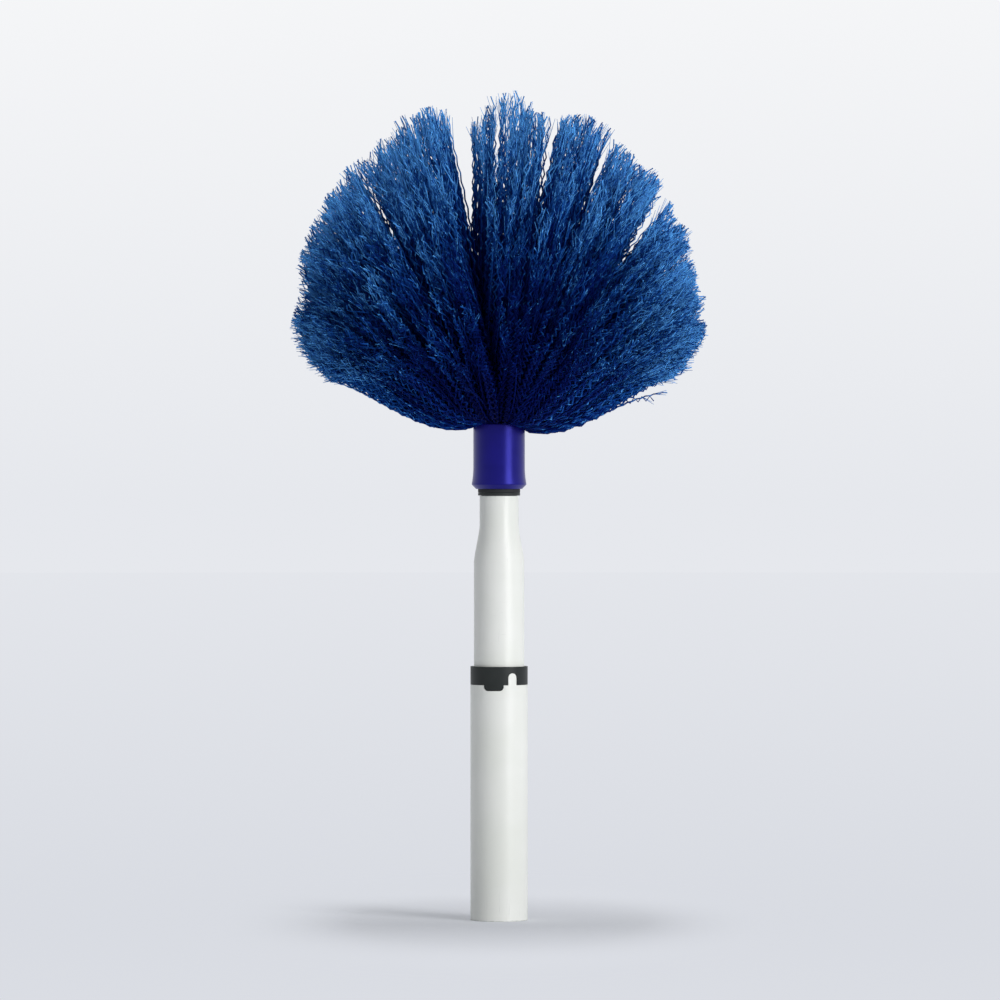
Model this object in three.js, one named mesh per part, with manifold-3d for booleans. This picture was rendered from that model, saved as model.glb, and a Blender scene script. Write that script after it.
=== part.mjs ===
// Flick duster: a round head of blue filaments on a short telescopic pole of two steel tubes.
// Millimetres, +Z up, front towards -Y. The origin is the centre of the pole's foot.
import Module from "manifold-3d";
import * as THREE from "three";
import { mergeVertices } from "three/addons/utils/BufferGeometryUtils.js";

// Clearances
const FIT_GAP = 0.25; // radial gap of a piece in its bore
const SEAT_GAP = 0.15; // gap between faces that seat on each other
const JOIN_DEPTH = 0.5; // how far the features of one piece run into each other

// Pole tubes
const LOWER_TUBE_DIAMETER = 25;
const LOWER_TUBE_LENGTH = 102.7;
const UPPER_TUBE_DIAMETER = 22;
const UPPER_TUBE_SHOWING = 74.3;
const UPPER_TUBE_INSERTED = 30;
const TUBE_WALL = 0.5;
const NECK_DIAMETER = 17; // swaged end of the upper tube
const NECK_LENGTH = 13.1;
const SHOULDER_LENGTH = 15.7;

// Guide ring on the lower tube's mouth
const RING_HEIGHT = 8;
const RING_CHAMFER = 0.35;
const RING_LEAD_IN = 0.3;
const SLEEVE_LENGTH = 7;

// Keys that stop the guide ring turning: its tongues in the tube, and the tube's tabs in its notches
const KEY_COUNT = 2;
const TONGUE_WIDTH = 8.6;
const TONGUE_DROP = 2.4;
const TONGUE_CORNER = 1.6;
const TONGUE_DIRECTION = -11.5; // degrees to the right of the front
const TAB_WIDTH = 4;
const TAB_HEIGHT = 5.2;
const TAB_DIRECTION = 28; // degrees to the right of the front

// Foot plug
const PLUG_HEIGHT = 12;
const PLUG_FLOOR = 2.2;
const PLUG_WALL = 1.6;
const PLUG_CHAMFER = 0.8;
const PLUG_WEB = 1.4;

// Twist lock: an eccentric journal turns in a split ring and spreads it against the lower tube
const SPINDLE_PLUG_LENGTH = 16;
const SPINDLE_RIBS = 10;
const SPINDLE_RIB_DEPTH = 0.9;
const SPINDLE_PLUG_WALL = 2.4;
const SPINDLE_FLANGE = 2.5;
const CAM_THROW = 0.8;
const LOCK_BORE_OFFSET = 0.5;
const LOCK_FLANGE_LIP = 0.9;
const LOCK_RING_HEIGHT = 16;
const LOCK_RING_SPLIT = 3;
const LOCK_RING_TEETH = 24;
const LOCK_RING_TOOTH_DEPTH = 0.4;

// Threaded tip and washer under the head
const FLANGE_LIP = 0.7; // how far the tip's flange stands out past the neck
const FLANGE_THICKNESS = 1.2;
const TIP_PLUG_LENGTH = 12;
const TIP_WALL = 1.6;
const TIP_CHAMFER = 0.6;
const THREAD_CORE_DIAMETER = 12.4;
const THREAD_DEPTH = 0.7;
const THREAD_ENGAGEMENT = 13.3;
const WASHER_THICKNESS = 2.4;
const WASHER_SEAT_DEPTH = 0.9;

// Collar
const COLLAR_DIAMETER = 22.5;
const COLLAR_RIM_STEP = 0.65; // how far the rim stands out past the body
const COLLAR_MOUTH_LIP = 0.6;
const COLLAR_CHAMFER_HEIGHT = 1.9;
const COLLAR_RIM_HEIGHT = 0.6;
const COLLAR_FLARE_HEIGHT = 7;
const COLLAR_WALL = 1.4;
const COLLAR_FLOOR = 2;
const COLLAR_EDGE = 0.4;
const CUP_DEPTH = 9.3;

// Core, screw and washer that hold the hanks in the collar
const CORE_STEM_DIAMETER = 6.4;
const CORE_CAP_DIAMETER = 10;
const CORE_STEM_LENGTH = 8;
const CORE_FLARE_LENGTH = 3;
const CORE_CAP_RISE = 2.5;
const SCREW_SHANK_DIAMETER = 3;
const SCREW_LENGTH = 11;
const SCREW_POINT = 2;
const SCREW_HEAD_DIAMETER = 6;
const SCREW_HEAD_HEIGHT = 2.2;
const SCREW_ROOM = 0.5; // between the screw's head and the threaded tip
const CORE_WASHER_DIAMETER = 9;
const CORE_WASHER_THICKNESS = 0.8;

// Wire wound round the hanks' waist
const WIRE_DIAMETER = 1;
const WIRE_TURNS = 2;
const WIRE_PITCH = 1.45;
const HANK_FLANGE = 1.2;

// Head of filaments: an egg whose widest level lies above the collar's mouth
const HEAD_DIAMETER = 182;
const HEAD_LIFT = 44;
const HEAD_CROWN = 102;
const HEAD_BELLY = 48;
const HANK_COUNT = 4;
const ROOT_PITCH = 1.25;
const ROOT_DEPTH = 1.4;
const ROOT_SPREAD = 85; // degrees from upright of the lowest roots
const TIP_SPREAD = 79; // degrees from upright of the lowest tips
const STRAND_SIDES = 3;
const STRAND_ROOT_RADIUS = 0.42;
const STRAND_BELLY_RADIUS = 1.35;
const STRAND_TIP_RADIUS = 0.8;
const BELLY_PLACE = 0.65; // where along a strand it is widest
const TIP_SCATTER = 0.6; // of the strands' spacing
const LENGTH_SCATTER = 0.12;
const POLAR_SERIES = 0; // the series of the scatter that sets a tip's angle from upright
const TURN_SERIES = 1;
const LENGTH_SERIES = 6;
const PARTINGS = [-90, -58, -29, -7, 11, 20, 35, 58, 90]; // degrees right of upright, from the front
const PARTING_SHARE = 0.3; // how far the tips of a tuft draw together
const PARTING_START = 0.3; // where along a strand that begins

// Facets
const ROUND_SIDES = 40;
const SMALL_SIDES = 28;
const BACKING_SIDES = 12;
const CURVE_STEPS = 6;
const DOME_STEPS = 3;
const WIRE_LOOP_STEPS = 24;
const WIRE_SIDES = 6;
const WIRE_GAP_POINTS = 240; // points a turn where the wire's gap to itself is measured
const MERGE_DISTANCE = 1e-4;

// Radii that follow from the sizes above
const lowerRadius = LOWER_TUBE_DIAMETER / 2;
const lowerBore = lowerRadius - TUBE_WALL;
const upperRadius = UPPER_TUBE_DIAMETER / 2;
const upperBore = upperRadius - TUBE_WALL;
const neckRadius = NECK_DIAMETER / 2;
const neckBore = neckRadius - TUBE_WALL;
const sleeveBore = upperRadius + FIT_GAP;
const sleeveRadius = lowerBore - FIT_GAP;
const flangeRadius = neckRadius + FLANGE_LIP;
const threadCore = THREAD_CORE_DIAMETER / 2;
const socketRadius = threadCore + THREAD_DEPTH + FIT_GAP;
const collarRadius = COLLAR_DIAMETER / 2;
const cupRadius = collarRadius - COLLAR_WALL;
const backingRadius = cupRadius - FIT_GAP;
const waistRadius = backingRadius - WIRE_DIAMETER - FIT_GAP;
const screwHole = SCREW_SHANK_DIAMETER / 2 + FIT_GAP;

// Levels from the foot up
const ringFoot = LOWER_TUBE_LENGTH + SEAT_GAP;
const ringTop = LOWER_TUBE_LENGTH + RING_HEIGHT;
const upperFoot = ringTop - UPPER_TUBE_INSERTED;
const upperTop = ringTop + UPPER_TUBE_SHOWING;
const flangeFoot = upperTop + SEAT_GAP;
const flangeTop = flangeFoot + FLANGE_THICKNESS;
const washerFoot = flangeTop + SEAT_GAP;
const washerTop = washerFoot + WASHER_THICKNESS;
const collarFoot = washerTop - WASHER_SEAT_DEPTH;
const socketFoot = washerTop + SEAT_GAP;
const tipTop = collarFoot + THREAD_ENGAGEMENT;
const screwFoot = tipTop + SCREW_ROOM;
const screwHeadTop = screwFoot + SCREW_HEAD_HEIGHT;
const screwTop = screwHeadTop + SCREW_LENGTH;
const coreWasherFoot = screwHeadTop + SEAT_GAP;
const coreWasherTop = coreWasherFoot + CORE_WASHER_THICKNESS;
const collarFloorFoot = coreWasherTop + SEAT_GAP;
const collarFloorTop = collarFloorFoot + COLLAR_FLOOR;
const hankFoot = collarFloorTop + SEAT_GAP;
const waistFoot = hankFoot + HANK_FLANGE;
const waistTop = waistFoot + WIRE_TURNS * WIRE_PITCH + WIRE_DIAMETER + 2 * FIT_GAP;
const collarTop = collarFloorTop + CUP_DEPTH;
const spindleFlangeTop = upperFoot - SEAT_GAP;
const journalTop = spindleFlangeTop - SPINDLE_FLANGE;
const journalFoot = journalTop - LOCK_RING_HEIGHT - 2 * FIT_GAP;
const spindleFoot = journalFoot - SPINDLE_FLANGE;

const wasm = await Module();
wasm.setup();

// A closed three.js geometry as a solid that can be joined and cut
function solidOf(geometry) {
  const bare = geometry.clone();
  bare.deleteAttribute("normal");
  bare.deleteAttribute("uv");
  const merged = mergeVertices(bare, MERGE_DISTANCE);
  const index = merged.index.array;
  const corners = [];
  for (let i = 0; i < index.length; i += 3) {
    const [a, b, c] = index.slice(i, i + 3);
    if (a !== b && b !== c && c !== a) corners.push(a, b, c);
  }
  return new wasm.Manifold(
    new wasm.Mesh({
      numProp: 3,
      vertProperties: new Float32Array(merged.attributes.position.array),
      triVerts: new Uint32Array(corners),
    }),
  );
}

function geometryOf(solid) {
  const mesh = solid.getMesh();
  const geometry = new THREE.BufferGeometry();
  geometry.setAttribute("position", new THREE.BufferAttribute(new Float32Array(mesh.vertProperties), 3));
  geometry.setIndex(new THREE.BufferAttribute(new Uint32Array(mesh.triVerts), 1));
  geometry.computeVertexNormals();
  return geometry;
}

// A profile of [radius, height] points turned round the pole's axis
function revolve(profile, sides = ROUND_SIDES) {
  const points = profile.map(([radius, height]) => new THREE.Vector2(radius, height));
  return new THREE.LatheGeometry(points, sides).rotateX(Math.PI / 2);
}

function ringProfile(inner, outer, foot, top) {
  return [
    [inner, foot],
    [outer, foot],
    [outer, top],
    [inner, top],
    [inner, foot],
  ];
}

// An outline drawn in the front view, pushed outwards from the axis and turned to a direction round the pole
function prism(outline, direction) {
  const geometry = new THREE.ExtrudeGeometry(outline, {
    depth: LOWER_TUBE_DIAMETER,
    bevelEnabled: false,
    curveSegments: CURVE_STEPS,
  });
  return geometry.rotateX(Math.PI / 2).rotateZ(THREE.MathUtils.degToRad(direction));
}

function keyDirections(first) {
  return Array.from({ length: KEY_COUNT }, (_, i) => first + (i * 360) / KEY_COUNT);
}

function tongueOutline(grow) {
  const half = TONGUE_WIDTH / 2 + grow;
  const low = ringFoot - TONGUE_DROP - grow;
  const corner = TONGUE_CORNER + grow;
  const outline = new THREE.Shape();
  outline.moveTo(-half, ringFoot + JOIN_DEPTH);
  outline.lineTo(-half, low + corner);
  outline.quadraticCurveTo(-half, low, corner - half, low);
  outline.lineTo(half - corner, low);
  outline.quadraticCurveTo(half, low, half, low + corner);
  outline.lineTo(half, ringFoot + JOIN_DEPTH);
  return outline;
}

function tabOutline(grow) {
  const half = TAB_WIDTH / 2 + grow;
  const shoulder = LOWER_TUBE_LENGTH + TAB_HEIGHT - TAB_WIDTH / 2;
  const outline = new THREE.Shape();
  outline.moveTo(half, LOWER_TUBE_LENGTH - JOIN_DEPTH);
  outline.lineTo(half, shoulder);
  outline.absarc(0, shoulder, half, 0, Math.PI, false);
  outline.lineTo(-half, LOWER_TUBE_LENGTH - JOIN_DEPTH);
  return outline;
}

// Curved pieces of the tube's wall, and the clear space that each of them needs
function wallPiece(outline, direction, inner, outer) {
  const shell = solidOf(revolve(ringProfile(inner, outer, ringFoot - LOWER_TUBE_DIAMETER, ringTop)));
  return solidOf(prism(outline, direction)).intersect(shell);
}

function lowerTube() {
  let tube = solidOf(revolve(ringProfile(lowerBore, lowerRadius, 0, LOWER_TUBE_LENGTH)));
  for (const direction of keyDirections(TONGUE_DIRECTION)) {
    tube = tube.subtract(solidOf(prism(tongueOutline(FIT_GAP), direction)));
  }
  for (const direction of keyDirections(TAB_DIRECTION)) {
    tube = tube.add(wallPiece(tabOutline(0), direction, lowerBore, lowerRadius));
  }
  return geometryOf(tube);
}

function guideRing() {
  const sleeveFoot = ringFoot - SLEEVE_LENGTH;
  let ring = solidOf(
    revolve([
      [sleeveBore, sleeveFoot],
      [sleeveRadius, sleeveFoot],
      [sleeveRadius, ringFoot],
      [lowerRadius, ringFoot],
      [lowerRadius, ringTop - RING_CHAMFER],
      [lowerRadius - RING_CHAMFER, ringTop],
      [sleeveBore + RING_LEAD_IN, ringTop],
      [sleeveBore, ringTop - RING_LEAD_IN],
      [sleeveBore, sleeveFoot],
    ]),
  );
  for (const direction of keyDirections(TONGUE_DIRECTION)) {
    ring = ring.add(wallPiece(tongueOutline(0), direction, lowerBore, lowerRadius));
  }
  for (const direction of keyDirections(TAB_DIRECTION)) {
    ring = ring.subtract(wallPiece(tabOutline(FIT_GAP), direction, sleeveRadius, LOWER_TUBE_DIAMETER));
  }
  return geometryOf(ring);
}

// The upper tube narrows from its full radius to the neck along an eased shoulder
function upperTube() {
  const shoulderTop = upperTop - NECK_LENGTH;
  const wall = (offset) => {
    const side = [[upperRadius - offset, upperFoot]];
    for (let i = 0; i <= CURVE_STEPS; i += 1) {
      const along = i / CURVE_STEPS;
      const eased = THREE.MathUtils.lerp(along, THREE.MathUtils.smoothstep(along, 0, 1), 1 / 2);
      const radius = THREE.MathUtils.lerp(upperRadius, neckRadius, eased);
      side.push([radius - offset, shoulderTop - SHOULDER_LENGTH * (1 - along)]);
    }
    side.push([neckRadius - offset, upperTop]);
    return side;
  };
  const outside = wall(0);
  return revolve([...outside, ...wall(TUBE_WALL).reverse(), outside[0]]);
}

// A flush cup with a cross web, pressed into the lower tube's foot
function endPlug() {
  const radius = lowerBore - FIT_GAP;
  const inner = radius - PLUG_WALL;
  let plug = solidOf(
    revolve([
      [0, 0],
      [radius, 0],
      [radius, PLUG_HEIGHT - PLUG_CHAMFER],
      [radius - PLUG_CHAMFER, PLUG_HEIGHT],
      [inner, PLUG_HEIGHT],
      [inner, PLUG_FLOOR],
      [0, PLUG_FLOOR],
    ]),
  );
  const webHeight = PLUG_HEIGHT - PLUG_CHAMFER - PLUG_FLOOR + JOIN_DEPTH;
  const webFoot = PLUG_FLOOR - JOIN_DEPTH;
  for (const turn of [0, Math.PI / 2]) {
    const web = new THREE.BoxGeometry(2 * inner + JOIN_DEPTH, PLUG_WEB, webHeight).rotateZ(turn);
    plug = plug.add(solidOf(web.translate(0, 0, webFoot + webHeight / 2)));
  }
  return geometryOf(plug);
}

function ribbedOutline(outer, depth, count) {
  const outline = new THREE.Shape();
  const step = (2 * Math.PI) / count;
  for (let i = 0; i < count; i += 1) {
    outline.absarc(0, 0, outer, i * step, (i + 1 / 2) * step, false);
    outline.absarc(0, 0, outer - depth, (i + 1 / 2) * step, (i + 1) * step, false);
  }
  return outline;
}

function disc(radius, foot, top, chamfer) {
  return solidOf(
    revolve([
      [0, foot],
      [radius - chamfer, foot],
      [radius, foot + chamfer],
      [radius, top],
      [0, top],
    ]),
  );
}

const lockBore = upperRadius - LOCK_FLANGE_LIP - LOCK_BORE_OFFSET;
const journalRadius = lockBore - LOCK_BORE_OFFSET - CAM_THROW - FIT_GAP;

// A ribbed plug in the upper tube's lower end, which carries the lock's journal between two flanges
function camSpindle() {
  const plugRadius = upperBore - FIT_GAP;
  const outline = ribbedOutline(plugRadius, SPINDLE_RIB_DEPTH, SPINDLE_RIBS);
  const hollow = new THREE.Path();
  hollow.absarc(0, 0, plugRadius - SPINDLE_RIB_DEPTH - SPINDLE_PLUG_WALL, 0, 2 * Math.PI, true);
  outline.holes.push(hollow);
  const plug = new THREE.ExtrudeGeometry(outline, {
    depth: SPINDLE_PLUG_LENGTH + JOIN_DEPTH,
    bevelEnabled: false,
    curveSegments: CURVE_STEPS / 2,
  });
  const journalLength = journalTop - journalFoot + 2 * JOIN_DEPTH;
  const journal = new THREE.CylinderGeometry(journalRadius, journalRadius, journalLength, SMALL_SIDES);
  journal.rotateX(Math.PI / 2).translate(CAM_THROW, 0, (journalTop + journalFoot) / 2);
  return geometryOf(
    solidOf(plug.translate(0, 0, spindleFlangeTop - JOIN_DEPTH))
      .add(disc(upperRadius, journalTop, spindleFlangeTop, 0))
      .add(solidOf(journal))
      .add(disc(upperRadius, spindleFoot, journalFoot, PLUG_CHAMFER)),
  );
}

// Split ring with a serrated outside; its bore is offset, so the journal spreads it as it turns
function lockRing() {
  const crest = lowerBore - FIT_GAP;
  const root = crest - LOCK_RING_TOOTH_DEPTH;
  const outline = new THREE.Shape();
  const outerStart = Math.PI + Math.asin(LOCK_RING_SPLIT / 2 / crest);
  const outerSweep = 2 * (2 * Math.PI - outerStart);
  const points = 2 * LOCK_RING_TEETH;
  for (let i = 0; i <= points; i += 1) {
    const angle = outerStart + (outerSweep * i) / points;
    const radius = i % 2 === 0 ? root : crest;
    const draw = i === 0 ? "moveTo" : "lineTo";
    outline[draw](radius * Math.cos(angle), radius * Math.sin(angle));
  }
  const innerEnd = Math.PI - Math.asin(LOCK_RING_SPLIT / 2 / lockBore);
  outline.absarc(-LOCK_BORE_OFFSET, 0, lockBore, innerEnd, -innerEnd, true);
  const ring = new THREE.ExtrudeGeometry(outline, {
    depth: LOCK_RING_HEIGHT,
    bevelEnabled: false,
    curveSegments: SMALL_SIDES,
  });
  return ring.translate(0, 0, journalFoot + FIT_GAP);
}

// A hollow plug in the neck, with a flange on the tube's end and the thread's core above it
function threadedTip() {
  const plugRadius = neckBore - FIT_GAP;
  const plugFoot = upperTop - TIP_PLUG_LENGTH;
  const hollow = threadCore - TIP_WALL;
  return revolve(
    [
      [0, tipTop - TIP_WALL],
      [hollow, tipTop - TIP_WALL],
      [hollow, plugFoot],
      [plugRadius - TIP_CHAMFER, plugFoot],
      [plugRadius, plugFoot + TIP_CHAMFER],
      [plugRadius, flangeFoot],
      [flangeRadius, flangeFoot],
      [flangeRadius, flangeTop],
      [threadCore, flangeTop],
      [threadCore, tipTop - TIP_CHAMFER],
      [threadCore - TIP_CHAMFER, tipTop],
      [0, tipTop],
    ],
    SMALL_SIDES,
  );
}

// The collar: a threaded socket below, a floor with the screw's hole, and the hanks' cup above
function collar() {
  const seatRadius = flangeRadius + FIT_GAP;
  const rimRadius = collarRadius + COLLAR_RIM_STEP;
  const rimFoot = collarFoot + COLLAR_CHAMFER_HEIGHT;
  const rimTop = rimFoot + COLLAR_RIM_HEIGHT;
  const flare = [];
  for (let i = 0; i <= CURVE_STEPS; i += 1) {
    const along = i / CURVE_STEPS;
    const radius = THREE.MathUtils.lerp(collarRadius, rimRadius, (1 - along) ** 2);
    flare.push([radius, rimTop + COLLAR_FLARE_HEIGHT * along]);
  }
  return revolve([
    [seatRadius, collarFoot],
    [seatRadius + COLLAR_MOUTH_LIP, collarFoot],
    [rimRadius, rimFoot],
    ...flare,
    [collarRadius, collarTop - COLLAR_EDGE],
    [collarRadius - COLLAR_EDGE, collarTop],
    [cupRadius, collarTop],
    [cupRadius, collarFloorTop],
    [screwHole, collarFloorTop],
    [screwHole, collarFloorFoot],
    [socketRadius, collarFloorFoot],
    [socketRadius, socketFoot],
    [seatRadius, socketFoot],
    [seatRadius, collarFoot],
  ]);
}

// The core's mushroom outline, or the hanks' pocket for it when grown
function coreOutline(grow, foot) {
  const stem = CORE_STEM_DIAMETER / 2 + grow;
  const cap = CORE_CAP_DIAMETER / 2 + grow;
  const stemTop = hankFoot + CORE_STEM_LENGTH;
  const capFoot = stemTop + CORE_FLARE_LENGTH;
  const side = [
    [stem, foot],
    [stem, stemTop],
  ];
  for (let i = 0; i <= CURVE_STEPS; i += 1) {
    const angle = (Math.PI / 2) * (i / CURVE_STEPS);
    side.push([cap * Math.cos(angle), capFoot + (CORE_CAP_RISE + grow) * Math.sin(angle)]);
  }
  side[side.length - 1][0] = 0;
  return side;
}

function spreaderCore() {
  const holeTop = screwTop + JOIN_DEPTH;
  const hole = [
    [0, holeTop],
    [screwHole, holeTop],
    [screwHole, hankFoot],
  ];
  return revolve([...hole, ...coreOutline(0, hankFoot)], SMALL_SIDES);
}

function coreScrew() {
  const shank = SCREW_SHANK_DIAMETER / 2;
  const head = SCREW_HEAD_DIAMETER / 2;
  return revolve(
    [
      [0, screwFoot],
      [head / 2, screwFoot],
      [head, screwHeadTop - SCREW_HEAD_HEIGHT / 2],
      [head, screwHeadTop],
      [shank, screwHeadTop],
      [shank, screwTop - SCREW_POINT],
      [0, screwTop],
    ],
    SMALL_SIDES,
  );
}

// Wire wound in the hanks' waist, with its two ends run out straight
class WindingCurve extends THREE.Curve {
  constructor(radius, foot) {
    super();
    this.radius = radius;
    this.foot = foot;
    this.coil = WIRE_TURNS * Math.hypot(2 * Math.PI * radius, WIRE_PITCH);
    this.whole = this.coil + 2 * WIRE_DIAMETER;
  }

  onCoil(turns) {
    const angle = 2 * Math.PI * turns;
    const height = this.foot + WIRE_PITCH * turns;
    return new THREE.Vector3(this.radius * Math.cos(angle), this.radius * Math.sin(angle), height);
  }

  getPoint(t, target = new THREE.Vector3()) {
    const along = (t * this.whole - WIRE_DIAMETER) / this.coil;
    const turns = THREE.MathUtils.clamp(along, 0, 1) * WIRE_TURNS;
    const past = (along - THREE.MathUtils.clamp(along, 0, 1)) * this.coil;
    const angle = 2 * Math.PI * turns;
    const ahead = new THREE.Vector3(-Math.sin(angle), Math.cos(angle), 0);
    return target.copy(this.onCoil(turns)).addScaledVector(ahead, past);
  }
}

// The least gap between points of the wire that lie at least half a turn apart
function leastGap(curve) {
  const count = WIRE_TURNS * WIRE_GAP_POINTS;
  const points = curve.getSpacedPoints(count);
  let least = Infinity;
  points.forEach((point, i) => {
    for (let j = i + WIRE_GAP_POINTS / 2; j <= count; j += 1) {
      least = Math.min(least, point.distanceTo(points[j]) - WIRE_DIAMETER);
    }
  });
  return least;
}

function bindingWire() {
  const radius = waistRadius + FIT_GAP + WIRE_DIAMETER / 2;
  const curve = new WindingCurve(radius, waistFoot + FIT_GAP + WIRE_DIAMETER / 2);
  console.log(`binding_wire: least gap to itself ${leastGap(curve).toFixed(2)} mm`);
  const section = new THREE.Shape();
  for (let i = 0; i < WIRE_SIDES; i += 1) {
    const angle = (2 * Math.PI * i) / WIRE_SIDES;
    const draw = i === 0 ? "moveTo" : "lineTo";
    section[draw]((WIRE_DIAMETER / 2) * Math.cos(angle), (WIRE_DIAMETER / 2) * Math.sin(angle));
  }
  return new THREE.ExtrudeGeometry(section, {
    steps: WIRE_TURNS * WIRE_LOOP_STEPS,
    bevelEnabled: false,
    extrudePath: curve,
  });
}

// How far the head's egg reaches from the fan's centre at an angle from upright
function reach(polar) {
  const across = Math.sin(polar) / (HEAD_DIAMETER / 2);
  const meet = (depth) => {
    const up = Math.cos(polar) / depth;
    const lift = HEAD_LIFT / depth;
    const square = across ** 2 + up ** 2;
    return (up * lift + Math.sqrt((up * lift) ** 2 - square * (lift ** 2 - 1))) / square;
  };
  const high = meet(HEAD_CROWN);
  return high * Math.cos(polar) >= HEAD_LIFT ? high : meet(HEAD_BELLY);
}

// A steady scatter between -0.5 and 0.5, with no two neighbours alike
function scatter(number, series) {
  const golden = (1 + Math.sqrt(5)) / 2;
  const turns = (number + 1) * golden * (1 + series * Math.SQRT2);
  return turns - Math.floor(turns) - 1 / 2;
}

// Degrees to the right of upright, seen from the front
function sideAngle(ray) {
  return THREE.MathUtils.radToDeg(Math.atan2(ray.x, ray.y));
}

// Where a strand runs: out of the backing, bent up a little, and drawn towards the middle of its tuft
function strandPath(root, tip, fullness) {
  const rayAt = (along, middle) => {
    const polar = THREE.MathUtils.lerp(root.polar, tip.polar, along);
    const turn = THREE.MathUtils.lerp(root.turn, tip.turn, along);
    const ray = new THREE.Vector3().setFromSphericalCoords(1, polar, turn);
    const share = PARTING_SHARE * THREE.MathUtils.smoothstep(along, PARTING_START, 1);
    const draw = THREE.MathUtils.degToRad((sideAngle(ray) - middle) * share);
    return ray.applyAxisAngle(new THREE.Vector3(0, 0, 1), draw);
  };
  const side = sideAngle(rayAt(0, 0));
  const right = Math.max(1, PARTINGS.findIndex((parting) => parting >= side));
  const middle = (PARTINGS[right - 1] + PARTINGS[right]) / 2;
  const length = fullness * reach(rayAt(1, middle).angleTo(new THREE.Vector3(0, 1, 0)));
  const start = backingRadius - ROOT_DEPTH;
  return (along) => rayAt(along, middle).multiplyScalar(THREE.MathUtils.lerp(start, length, along));
}

// Adds one strand's rings of corners and its faces to the lists
function addStrand(path, positions, faces) {
  const stations = [
    [0, STRAND_ROOT_RADIUS],
    [BELLY_PLACE, STRAND_BELLY_RADIUS],
    [1, STRAND_TIP_RADIUS],
  ];
  const axis = path(1).sub(path(0)).normalize();
  const side = new THREE.Vector3(axis.y, axis.z, axis.x).cross(axis).normalize();
  const other = axis.clone().cross(side);
  const first = positions.length / 3;
  for (const [along, radius] of stations) {
    const centre = path(along);
    for (let i = 0; i < STRAND_SIDES; i += 1) {
      const angle = (2 * Math.PI * i) / STRAND_SIDES;
      const corner = centre.clone().addScaledVector(side, radius * Math.cos(angle));
      corner.addScaledVector(other, radius * Math.sin(angle));
      positions.push(corner.x, corner.y, corner.z);
    }
  }
  const at = (ring, i) => first + ring * STRAND_SIDES + (i % STRAND_SIDES);
  for (let ring = 0; ring + 1 < stations.length; ring += 1) {
    for (let i = 0; i < STRAND_SIDES; i += 1) {
      faces.push(at(ring, i), at(ring, i + 1), at(ring + 1, i + 1));
      faces.push(at(ring, i), at(ring + 1, i + 1), at(ring + 1, i));
    }
  }
  const last = stations.length - 1;
  for (let i = 1; i + 1 < STRAND_SIDES; i += 1) {
    faces.push(at(0, 0), at(0, i + 1), at(0, i));
    faces.push(at(last, 0), at(last, i), at(last, i + 1));
  }
}

// The strands of one hank, in rows from the crown down, between its two cut sides
function hankStrands(hank) {
  const rootSpread = THREE.MathUtils.degToRad(ROOT_SPREAD);
  const tipSpread = THREE.MathUtils.degToRad(TIP_SPREAD);
  const hankTurn = (2 * Math.PI) / HANK_COUNT;
  const rows = Math.floor((backingRadius * rootSpread) / ROOT_PITCH);
  const positions = [];
  const faces = [];
  let number = hank;
  for (let row = 0; row < rows; row += 1) {
    const rowShare = (row + 1 / 2) / rows;
    const rootPolar = rootSpread * rowShare;
    const inRow = Math.max(1, Math.floor((hankTurn * backingRadius * Math.sin(rootPolar)) / ROOT_PITCH));
    for (let i = 0; i < inRow; i += 1) {
      const turn = hankTurn * (hank + (i + 1 / 2) / inRow);
      const tipPolar = tipSpread * (rowShare + (TIP_SCATTER * scatter(number, POLAR_SERIES)) / rows);
      const tipTurn = turn + (TIP_SCATTER * hankTurn * scatter(number, TURN_SERIES)) / inRow;
      const fullness = 1 - LENGTH_SCATTER * (1 / 2 + scatter(number, LENGTH_SERIES));
      const path = strandPath({ polar: rootPolar, turn }, { polar: tipPolar, turn: tipTurn }, fullness);
      addStrand(path, positions, faces);
      number += HANK_COUNT;
    }
  }
  const geometry = new THREE.BufferGeometry();
  geometry.setAttribute("position", new THREE.Float32BufferAttribute(positions, 3));
  geometry.setIndex(faces);
  return geometry.rotateX(Math.PI / 2).translate(0, 0, collarTop);
}

// The hanks' bound stub: a round foot with a waist for the wire, a dome, and a pocket for the core
function hankBacking() {
  const dome = [];
  for (let i = 0; i <= DOME_STEPS; i += 1) {
    const angle = (Math.PI / 2) * (i / DOME_STEPS);
    dome.push([backingRadius * Math.cos(angle), collarTop + backingRadius * Math.sin(angle)]);
  }
  dome[DOME_STEPS][0] = 0;
  const stub = [
    [0, hankFoot],
    [backingRadius, hankFoot],
    [backingRadius, waistFoot],
    [waistRadius, waistFoot],
    [waistRadius, waistTop],
    [backingRadius, waistTop],
    ...dome,
  ];
  const pocketFoot = hankFoot - JOIN_DEPTH;
  const pocket = [[0, pocketFoot], ...coreOutline(FIT_GAP, pocketFoot)];
  return solidOf(revolve(stub, BACKING_SIDES)).subtract(solidOf(revolve(pocket, 2 * BACKING_SIDES)));
}

const backing = hankBacking();

// One quarter of the head: its slice of the backing with its strands
function bristleHank(hank) {
  const size = 2 * backingRadius;
  const middle = size / 2 + FIT_GAP / 2;
  const quarter = new THREE.BoxGeometry(size, size, 2 * size).translate(middle, -middle, collarTop);
  const slice = backing.intersect(solidOf(quarter.rotateZ((2 * Math.PI * hank) / HANK_COUNT)));
  return geometryOf(slice.add(solidOf(hankStrands(hank))));
}

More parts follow.
